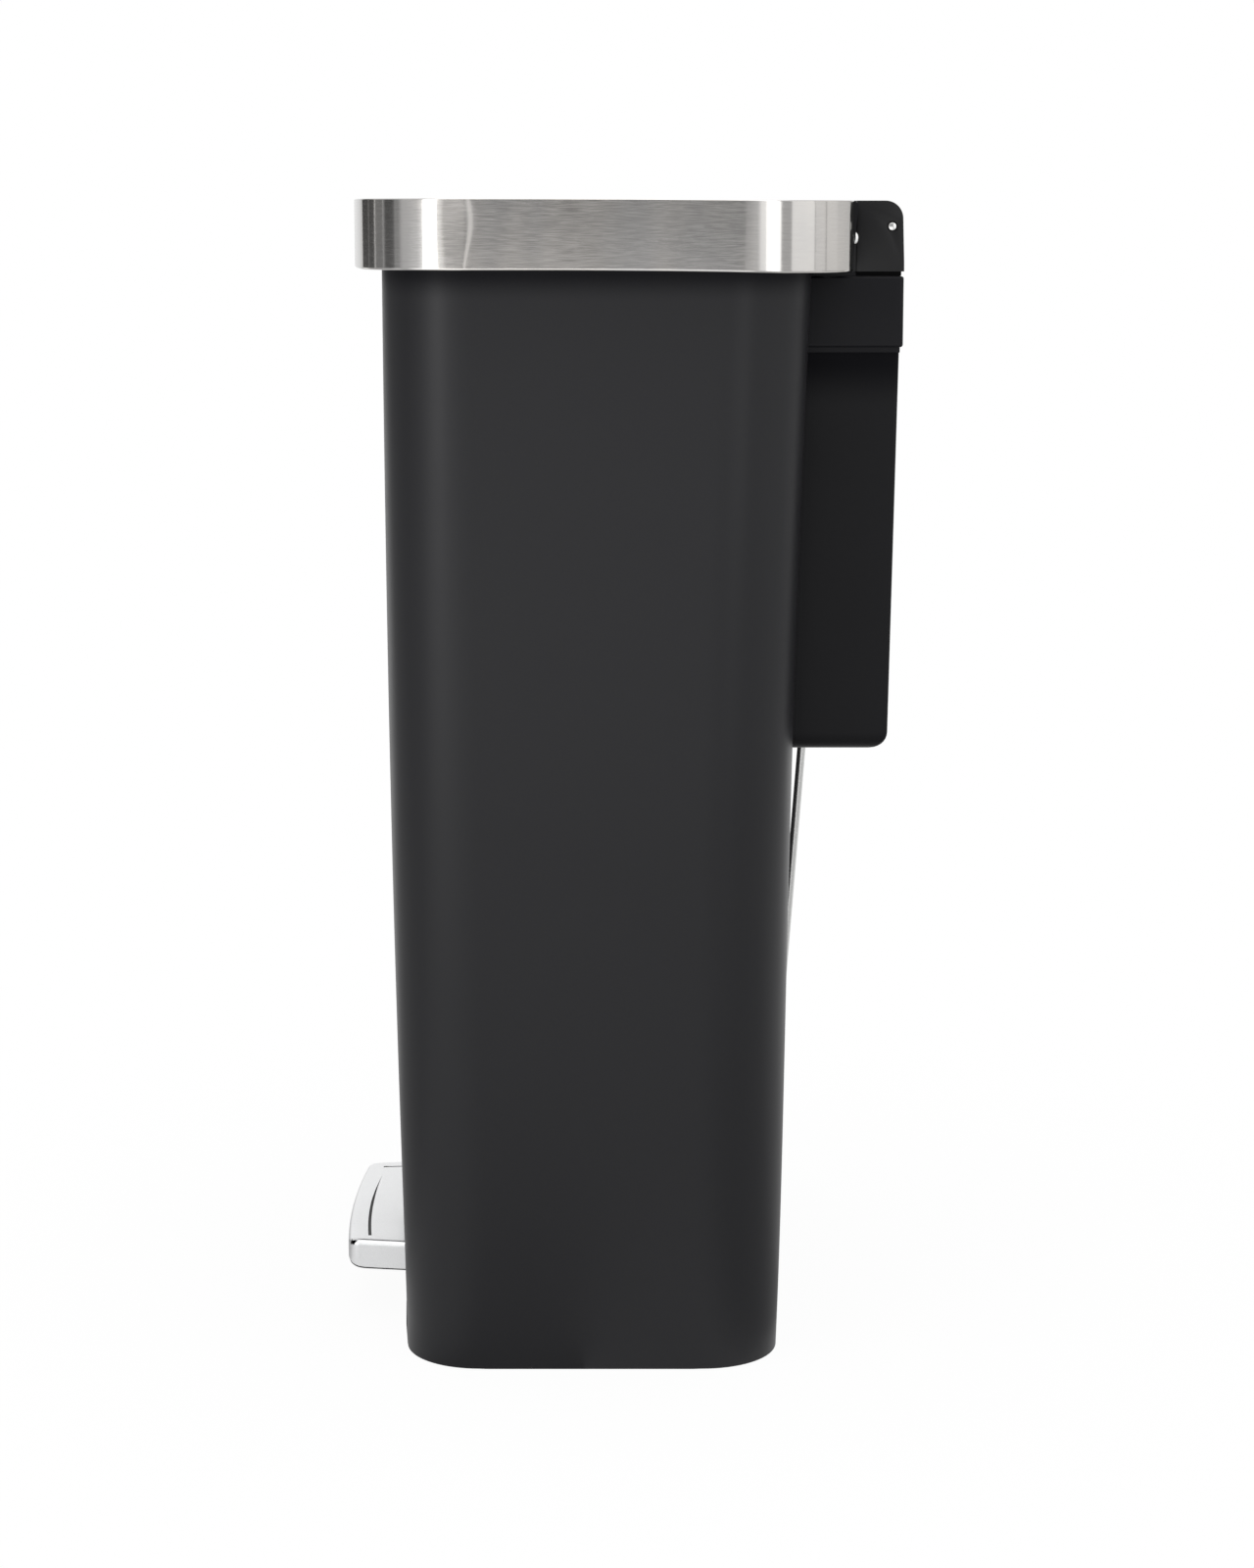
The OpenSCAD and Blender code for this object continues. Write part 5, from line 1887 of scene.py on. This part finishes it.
@dataclass
class SteelPedal:
    """Pressed steel tread with a rounded edge and three slots."""

    shop: Workshop
    half: float = 82.0
    front: float = -144.0
    back: float = -101.25
    top: float = 45.4
    skirt: float = 16.2
    sheet: float = 1.2
    corner_r: float = 8.0
    curve_r: float = 900.0
    flare: float = 5.0
    edge_r: float = 3.2
    toe_rise: float = 5.0
    toe_reach: float = 10.5
    bead: float = 0.75
    slot_from: float = 71.5
    slot_to: float = -50.0
    slot_bow: float = 710.0
    slot_y: float = 12.0
    slot_half: float = 0.95
    right_slot: SideSlot = SideSlot(
        (-5.3, 4.6),
        ((0.0, 1.0), (2.0, 0.0), (4.2, 0.8), (4.0, 3.0), (2.7, 5.5)),
        (8.2, 6.5),
        ((0.8, 5.0),),
    )
    left_slot: SideSlot = SideSlot(
        (-12.4, 13.4), ((0.0, 0.4), (1.0, -0.2), (2.6, 0.4), (2.2, 5.0)), (4.8, 3.2)
    )
    skirt_edge: tuple[Point2, ...] = ((0.5, 0.0), (0.1, 0.25), (0.0, 0.8))

    def ring(self, inset: float, z: float, back: float) -> list[Point3]:
        """Outline of the pedal drawn inwards, at a height.

        Args:
            inset: How far it is drawn inwards.
            z: The height.
            back: Where its open end lies.

        Returns:
            The points in order.
        """
        half, r, bow = self.half - inset, self.corner_r - inset, self.curve_r - inset
        lean = math.degrees(math.asin((half - r) / (bow - r)))
        middle = self.front + inset + bow
        corner_y = middle - math.sqrt((bow - r) ** 2 - (half - r) ** 2)
        points = arc((0.0, middle), bow, -90, -90 + lean, 14)[:-1]
        points += arc((half - r, corner_y), r, lean - 90, 0, 12)
        end = half + self.flare
        for share in (0.05, 0.15, 0.5, 1.0):
            points.append((half + (end - half) * share, corner_y + (back - corner_y) * share))
        ring = points + [(-x, y) for x, y in reversed(points[1:])]
        return at_height(ring, z)

    def toe(self, x: float, y: float) -> float:
        """How far the skirt's lower edge is drawn up at a place, towards the toe.

        Args:
            x: The place's x.
            y: The place's y.

        Returns:
            The height that it is drawn up.
        """
        start = self.front + x * x / (2 * self.curve_r)
        share = min(max((start + self.toe_reach - y) / self.toe_reach, 0.0), 1.0)
        return self.toe_rise * (1 - math.sqrt(1 - share * share))

    def along_toe(self, inset: float, z: float, back: float) -> list[Point3]:
        """Outline that follows the skirt's lower edge."""
        return [(x, y, z + self.toe(x, y)) for x, y, z in self.ring(inset, z, back)]

    def slot_front(self) -> bpy.types.Object:
        """Cutter for the curved slot across the tread, which narrows to nothing.

        Returns:
            The cutter.
        """
        near_line, far_line = [], []
        for i in range(25):
            share = i / 24
            x = self.slot_from + (self.slot_to - self.slot_from) * share
            y = self.front + self.slot_y + self.slot_bow - math.sqrt(self.slot_bow**2 - x * x)
            half = self.slot_half * (1 - 0.25 * share) * min(1.0, 2.4 * (1 - share)) + 0.03
            near_line.append((x, y - half))
            far_line.append((x, y + half))
        return self._through_tread(near_line + far_line[::-1])

    def slot_side(self, side: int) -> bpy.types.Object:
        """Cutter for the slot along one side: wide at its start, then a hairline.

        Args:
            side: 1 for the side at +X, -1 for the other.

        Returns:
            The cutter.
        """
        slot = self.right_slot if side > 0 else self.left_slot
        x, y = self.half + slot.start[0], self.front + slot.start[1]
        ring = [(x + dx, y + dy) for dx, dy in slot.toe]
        ring += [(x + dx, self.back + 2) for dx in slot.back_xs]
        ring += [(x + dx, y + dy) for dx, dy in slot.heel]
        return self._through_tread([(side * px, py) for px, py in ring])

    def _through_tread(self, ring: Sequence[Point2]) -> bpy.types.Object:
        """Cutter with an outline, through the top of the tread."""
        return loft("slot", [at_height(ring, self.top - 3), at_height(ring, self.top + 3)])

    def build(self) -> None:
        """Makes the tread and the edge of its core, finished near-black as painted shade."""
        low, behind = self.top - self.skirt, self.back + 4
        spans = quarter(self.edge_r, 10)
        outer = [self.along_toe(i, low + rise, self.back) for i, rise in self.skirt_edge]
        outer += [self.ring(inset, self.top - drop, self.back) for inset, drop in spans]
        piece = loft("pedal_tread", outer)
        inner_r, under = self.edge_r - self.sheet, self.top - self.sheet
        inner = [self.ring(self.sheet, low - 1, behind)]
        for inset, drop in spans:
            set_in = self.sheet + inset * inner_r / self.edge_r
            inner.append(self.ring(set_in, under - drop * inner_r / self.edge_r, behind))
        cut(piece, loft("under", inner))
        cut(piece, self.slot_front())
        for side in (-1, 1):
            cut(piece, self.slot_side(side))
        self.shop.finish_piece(piece, "pedal_steel", "lever", ["pedal_cap"])
        self._bead(low)

    def _bead(self, low: float) -> None:
        """Thin edge of the core under the steel skirt: partly the real core, partly painted shade.

        Args:
            low: Height of the skirt's lower edge.
        """
        outer = [self.along_toe(0.75, low + z, self.back + 1) for z in (-self.bead, 1.0)]
        inner = [self.along_toe(2.4, low + z, self.back + 3) for z in (-2.0, 3.0)]
        piece = loft("pedal_core_shadow_edge", outer)
        cut(piece, loft("inside", inner))
        # Painted shade: the near-black finish stands in for the dark line seen under the skirt.
        self.shop.finish_piece(piece, "trim_plastic", "lever", [], 32, "shadow_plastic")


@dataclass
class LiftRod:
    """Bent rod between the lever and the lid's crank, with a hook at each end."""

    shop: Workshop
    radius: float = 2.5
    bend_r: float = 4.0
    sides: int = 28
    crank: Point2 = (150.154, 620.264)
    crank_reach: float = 10.0
    bend: Point2 = (112.7, 110.0)
    hook: Point2 = (94.0, 38.0)
    hook_rise: float = 20.0
    hook_reach: float = 19.0

    def build(self) -> None:
        """Makes the rod."""
        path = [
            (self.crank_reach, *self.crank),
            (0.0, *self.crank),
            (0.0, *self.bend),
            (0.0, self.hook[0], self.hook[1] + self.hook_rise),
            (0.0, *self.hook),
            (self.hook_reach, *self.hook),
        ]
        piece = self.shop.bar.make(
            "lift_rod_bent",
            path,
            self.shop.palette.materials["rod_steel"],
            {"Radius": self.radius * MM, "Bend radius": self.bend_r * MM, "Sides": self.sides},
        )
        self.shop.finish_piece(piece, "rod_steel", "rod", ["lift_rod"], 40)


@dataclass(frozen=True)
class ScrewKind:
    """One kind of cross-head screw and the way it is turned, from pointing down."""

    head_r: float
    head_height: float
    shank_r: float
    shank: float
    turn: float


@dataclass
class Fasteners:
    """Cross-head screws of the base, the housing and the lid's bracket."""

    shop: Workshop
    base_kind: ScrewKind = ScrewKind(3.7, 0.9, 1.6, 13.0, math.pi)
    base_x: float = 166.0
    base_ys: Point2 = (-40.0, 50.0)
    base_z: float = 1.2
    housing_kind: ScrewKind = ScrewKind(3.9, 1.8, 1.5, 12.0, math.pi / 2)
    housing_x: float = 80.0
    housing_sunk: float = 1.8
    bracket_kind: ScrewKind = ScrewKind(3.3, 1.9, 1.2, 4.4, math.pi)
    bracket_xs: tuple[float, ...] = (-44.0, -20.0, 20.0, 44.0)
    bracket_sunk: float = 2.0

    def build(self) -> None:
        """Sets the screws where their solids are."""
        places = [
            (side * self.base_x, y, self.base_z) for side in (1, -1) for y in self.base_ys
        ]
        self._set("base_screw_set", places, self.base_kind, "root", "base_screws")
        low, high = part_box("housing_screws")
        wall_y, middle = low.y / MM + self.housing_sunk, 0.5 * (low.z + high.z) / MM
        places = [(x, wall_y, middle) for x in (self.housing_x, -self.housing_x)]
        self._set("housing_screw_set", places, self.housing_kind, "root", "housing_screws")
        low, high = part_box("bracket_screws")
        middle, seat = 0.5 * (low.y + high.y) / MM, low.z / MM + self.bracket_sunk
        places = [(x, middle, seat) for x in self.bracket_xs]
        self._set("bracket_screw_set", places, self.bracket_kind, "lid", "bracket_screws")

    def _set(
        self, name: str, places: Sequence[Point3], kind: ScrewKind, body: str, solid: str
    ) -> None:
        """Makes one set of screws.

        Args:
            name: Name of the set.
            places: Where each head sits.
            kind: The screw.
            body: The body that the set rides on.
            solid: The solid that it replaces.
        """
        piece = self.shop.screws.make(
            name,
            places,
            self.shop.palette.materials["screw_steel"],
            {
                "Head radius": kind.head_r * MM,
                "Head height": kind.head_height * MM,
                "Shank radius": kind.shank_r * MM,
                "Shank length": kind.shank * MM,
                "Turn": (kind.turn, 0.0, 0.0),
            },
        )
        self.shop.finish_piece(piece, "screw_steel", body, [solid])


def dress_plain_solids(
    palette: Palette, nodes: dict[str, bpy.types.Object], slots: dict[str, str]
) -> None:
    """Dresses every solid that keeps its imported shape.

    Args:
        palette: The materials.
        nodes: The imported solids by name.
        slots: Material slot of each.
    """
    for name, node in nodes.items():
        if not node.hide_render:
            palette.dress(node, slots[name])
            LOG.info("%s keeps its packed shape", name)


# ---------------------------------------------------------------------------
# Studio
# ---------------------------------------------------------------------------


@dataclass(frozen=True)
class WallStretch:
    """Stretch of the surroundings, by its bearing in degrees from +X towards +Y."""

    start: float
    end: float
    level: float
    blur: float = 1.0


@dataclass(frozen=True)
class Lamp:
    """Soft rectangular lamp aimed at a point; places in metres, power in watts."""

    name: str
    place: Point3
    target: Point3
    size: Point2
    power: float

    def build(self) -> None:
        """Makes the lamp, unseen by the camera."""
        data = bpy.data.lights.new(self.name, "AREA")
        data.shape = "RECTANGLE"
        data.size, data.size_y = self.size
        data.energy = self.power
        lamp = bpy.data.objects.new(self.name, data)
        lamp.location = self.place
        aim = Vector(self.target) - Vector(self.place)
        lamp.rotation_euler = aim.to_track_quat("-Z", "Y").to_euler()
        lamp.visible_camera = False
        bpy.context.scene.collection.objects.link(lamp)


@dataclass
class Studio:
    """Pale floor, soft lamps, surroundings with cards and flags, and the camera.

    Later stretches lie over earlier ones. The walls are what mirrors show above the floor,
    grounds and near_grounds are what they show of the floor far off and close by.
    """

    floor_radius: float = 1.6
    camera_place: Point3 = (1.9414, 0.024, 0.6422)
    camera_down: float = 9.866
    lens: float = 75.3
    front_level: float = 0.42
    ceiling_level: float = 0.92
    walls: tuple[WallStretch, ...] = (
        WallStretch(-151.2, -85, 0.09, 0.8),
        WallStretch(-116, -99, 0.24, 0.6),
        WallStretch(-131.2, -129.8, 0.34, 0.3),
        WallStretch(-117.6, -116.0, 1.0, 0.3),
        WallStretch(-102.6, -101.4, 0.62, 0.3),
        WallStretch(-85, -77, 0.3, 3.0),
        WallStretch(-77, -56, 0.66, 4.0),
        WallStretch(-56, -30, 0.95, 3.0),
        WallStretch(-9.8, -8.0, 0.2, 0.4),
        WallStretch(-7.7, -5.2, 0.92, 0.4),
        WallStretch(-5.0, 1.0, 0.25, 0.5),
        WallStretch(-1.8, -0.5, 0.1, 0.3),
        WallStretch(-0.4, 0.7, 0.36, 0.3),
        WallStretch(0.8, 4.0, 0.21, 0.6),
        WallStretch(9.0, 16.0, 0.7, 4.0),
        WallStretch(16.0, 38.0, 1.4, 3.0),
        WallStretch(38.0, 50.5, 0.56, 0.8),
        WallStretch(50.5, 146.0, 1.24, 0.5),
        WallStretch(78.4, 79.6, 0.45, 0.3),
        WallStretch(80.0, 146.0, 0.93, 0.4),
        WallStretch(94.0, 95.4, 0.42, 0.4),
        WallStretch(114.0, 146.0, 0.84, 3.0),
    )
    grounds: tuple[WallStretch, ...] = (
        WallStretch(-139, -84, 0.36, 9.0),
        WallStretch(-84, -62, 0.46, 9.0),
        WallStretch(-62, -14, 1.35, 10.0),
        WallStretch(-14, -3, 1.15, 6.0),
        WallStretch(-3, 8, 1.0, 5.0),
        WallStretch(8, 85, 0.5, 7.0),
        WallStretch(85, 139, 0.36, 9.0),
    )
    near_grounds: tuple[WallStretch, ...] = (
        WallStretch(-139, -84, 0.62, 9.0),
        WallStretch(-84, -62, 0.6, 9.0),
        WallStretch(-62, -14, 1.15, 10.0),
        WallStretch(-14, -3, 1.22, 6.0),
        WallStretch(-3, 8, 0.94, 5.0),
        WallStretch(8, 85, 0.6, 7.0),
        WallStretch(85, 139, 0.8, 9.0),
    )
    ground_edge: float = -0.05
    ground_blur: float = 0.015
    near_ground: float = 0.7
    can_half: float = 0.115
    backdrop_edge: float = 151.0
    lamps: tuple[Lamp, ...] = (
        Lamp("left_softbox", (1.96, -1.754, 1.14), (0.1, -0.1, 1.14), (0.62, 1.8), 9.9),
        Lamp("right_softbox", (2.25, 1.34, 1.0), (0.1, 0.1, 1.0), (0.66, 1.8), 3.7),
        Lamp("top_softbox", (0.3, 0.0, 2.6), (0, 0, 0.3), (1.8, 1.8), 22),
    )

    def build(self) -> None:
        """Makes the studio."""
        scene = bpy.context.scene
        scene.view_settings.view_transform = "Standard"
        self._camera(scene)
        self._world(scene)
        self._floor()
        for lamp in self.lamps:
            lamp.build()

    def _camera(self, scene: bpy.types.Scene) -> None:
        """The camera at the viewing angle of the can's side.

        Args:
            scene: The scene.
        """
        data = bpy.data.cameras.new("camera")
        data.lens = self.lens
        data.sensor_width = 36.0
        camera = bpy.data.objects.new("camera", data)
        camera.location = self.camera_place
        camera.rotation_euler = (math.radians(90 - self.camera_down), 0, math.radians(90))
        scene.collection.objects.link(camera)
        scene.camera = camera

    def _bearing(self, sketch: Sketch, x: Any, y: Any) -> Socket:
        """Bearing of a direction in degrees from +X towards +Y."""
        return sketch.product(sketch.math("ARCTAN2", y, x), 180 / math.pi)

    def _painted(
        self, sketch: Sketch, stretches: Iterable[WallStretch], bearing: Any, level: Any
    ) -> Any:
        """Lays stretches with soft edges over a level.

        Args:
            sketch: Sketch of the tree.
            stretches: The stretches, each over the ones before it.
            bearing: Bearing of the direction in degrees.
            level: Level where no stretch lies.

        Returns:
            The socket with the level.
        """
        for stretch in stretches:
            start, end, blur = stretch.start, stretch.end, stretch.blur
            rise = sketch.ramp(bearing, start - blur, start + blur, 0.0, 1.0)
            fall = sketch.ramp(bearing, end - blur, end + blur, 1.0, 0.0)
            level = sketch.level(sketch.product(rise, fall), level, stretch.level)
        return level

    def _world(self, scene: bpy.types.Scene) -> None:
        """Surroundings: a white backdrop, walls with cards and flags, and a pale ceiling.

        Args:
            scene: The scene.
        """
        world = bpy.data.worlds.new("studio")
        scene.world = world
        world.use_nodes = True
        world.node_tree.nodes.clear()
        sketch = Sketch(world.node_tree)
        ray = sketch.add("ShaderNodeTexCoord").outputs["Generated"]
        parts = sketch.add("ShaderNodeSeparateXYZ", {0: ray}).outputs
        bearing = self._bearing(sketch, parts["X"], parts["Y"])
        level = self._painted(sketch, self.walls, bearing, self.front_level)
        edge = self.backdrop_edge
        turned = sketch.math("ABSOLUTE", bearing)
        behind = sketch.ramp(turned, edge - 1.0, edge + 1.0, 0.0, 1.0)
        level = sketch.level(behind, level, 1.0)
        height = sketch.add("ShaderNodeSeparateXYZ", {0: ray}).outputs["Z"]
        above = sketch.ramp(height, 0.22, 0.45, 0.0, 1.0)
        level = sketch.level(above, level, self.ceiling_level)
        edge, blur = self.ground_edge, self.ground_blur
        below = sketch.ramp(height, edge - blur, edge + blur, 1.0, 0.0)
        strength = sketch.ramp(height, -0.25, edge, 1.7, 1.1)
        ground = sketch.product(self._painted(sketch, self.grounds, bearing, 1.0), strength)
        level = sketch.level(below, level, ground)
        level = sketch.level(self._white_rays(sketch, behind), level, 1.0)
        light = sketch.add("ShaderNodeBackground", {"Color": (1, 1, 1, 1), "Strength": level})
        sketch.add("ShaderNodeOutputWorld", {"Surface": light.outputs[0]})

    def _white_rays(self, sketch: Sketch, behind: Any) -> Socket:
        """Share of white: always for the eye and clear things, in mirrors for the backdrop.

        Args:
            sketch: Sketch of the tree.
            behind: Socket with the share of the backdrop.

        Returns:
            The socket with the share.
        """
        path = sketch.add("ShaderNodeLightPath").outputs
        seen = sketch.math("ADD", path["Is Camera Ray"], path["Is Transmission Ray"])
        mirrored = sketch.product(path["Is Glossy Ray"], behind)
        return sketch.math("ADD", seen, mirrored, clamp=True)

    def _floor(self) -> None:
        """Round pale floor that looks white and keeps a faint shadow."""
        ring = arc((0.0, 0.0), self.floor_radius / MM, 0, 360, 96)[:-1]
        piece = mesh_piece("floor", at_height(ring, 0.0), [tuple(range(len(ring)))])
        material, sketch, shader = new_material("pale_floor")
        shader.inputs["Base Color"].default_value = (0.86, 0.86, 0.86, 1)
        shader.inputs["Roughness"].default_value = 0.9
        shader.inputs["Specular IOR Level"].default_value = 0.1
        place = sketch.add("ShaderNodeTexCoord").outputs["Object"]
        radius = sketch.add(
            "ShaderNodeVectorMath", {0: place}, operation="LENGTH"
        ).outputs["Value"]
        parts = sketch.add("ShaderNodeSeparateXYZ", {0: place}).outputs
        reach = sketch.product(sketch.math("SIGN", parts["Y"]), self.can_half)
        beside = sketch.math("SUBTRACT", parts["Y"], reach)
        bearing = self._bearing(sketch, parts["X"], beside)
        nearness = sketch.ramp(radius, 0.4, 0.95, self.near_ground, 1.0)
        path = sketch.add("ShaderNodeLightPath").outputs
        seen = sketch.math("ADD", path["Is Camera Ray"], path["Is Transmission Ray"], clamp=True)
        mirrored = path["Is Glossy Ray"]
        # Painted reflection: mirrors see the floor glow at set levels by bearing, dimmer close to
        # the can as painted shade, in place of its lit surface.
        ground = sketch.product(self._painted(sketch, self.near_grounds, bearing, 1.0), nearness)
        level = sketch.level(mirrored, 1.0, ground)
        glow = sketch.add("ShaderNodeEmission", {"Color": (1, 1, 1, 1), "Strength": level})
        clean = sketch.product(seen, sketch.ramp(radius, 0.3, 0.9, 0.955, 1.0))
        share = sketch.math("ADD", clean, mirrored, clamp=True)
        blend = sketch.add(
            "ShaderNodeMixShader", {0: share, 1: shader.outputs[0], 2: glow.outputs[0]}
        )
        output = next(n for n in material.node_tree.nodes if n.type == "OUTPUT_MATERIAL")
        sketch.feed(output, "Surface", blend.outputs[0])
        piece.data.materials.append(material)


def plain(box: Any) -> list[list[float]]:
    """A box as plain lists of numbers."""
    return [[float(v) for v in corner] for corner in box]


def main() -> None:
    """Builds the can and its studio."""
    logging.basicConfig(level=logging.INFO, format="%(message)s")
    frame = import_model()
    Studio().build()
    palette = Palette(Effects())
    shop = Workshop(palette, SweptStrip(), RoundBar(), CrossHeadScrews())
    body = BodyShell(shop)
    body.build()
    SteelRim(shop).build()
    CrownedLid(shop).build()
    HingeBlock(shop).build()
    LinerStore(shop, body).build()
    SteelPedal(shop).build()
    LiftRod(shop).build()
    Fasteners(shop).build()
    slots = {part["node"]: part["material_slot"] for part in frame["record"]["subparts"]}
    dress_plain_solids(palette, frame["nodes"], slots)


if __name__ == "__main__":
    main()
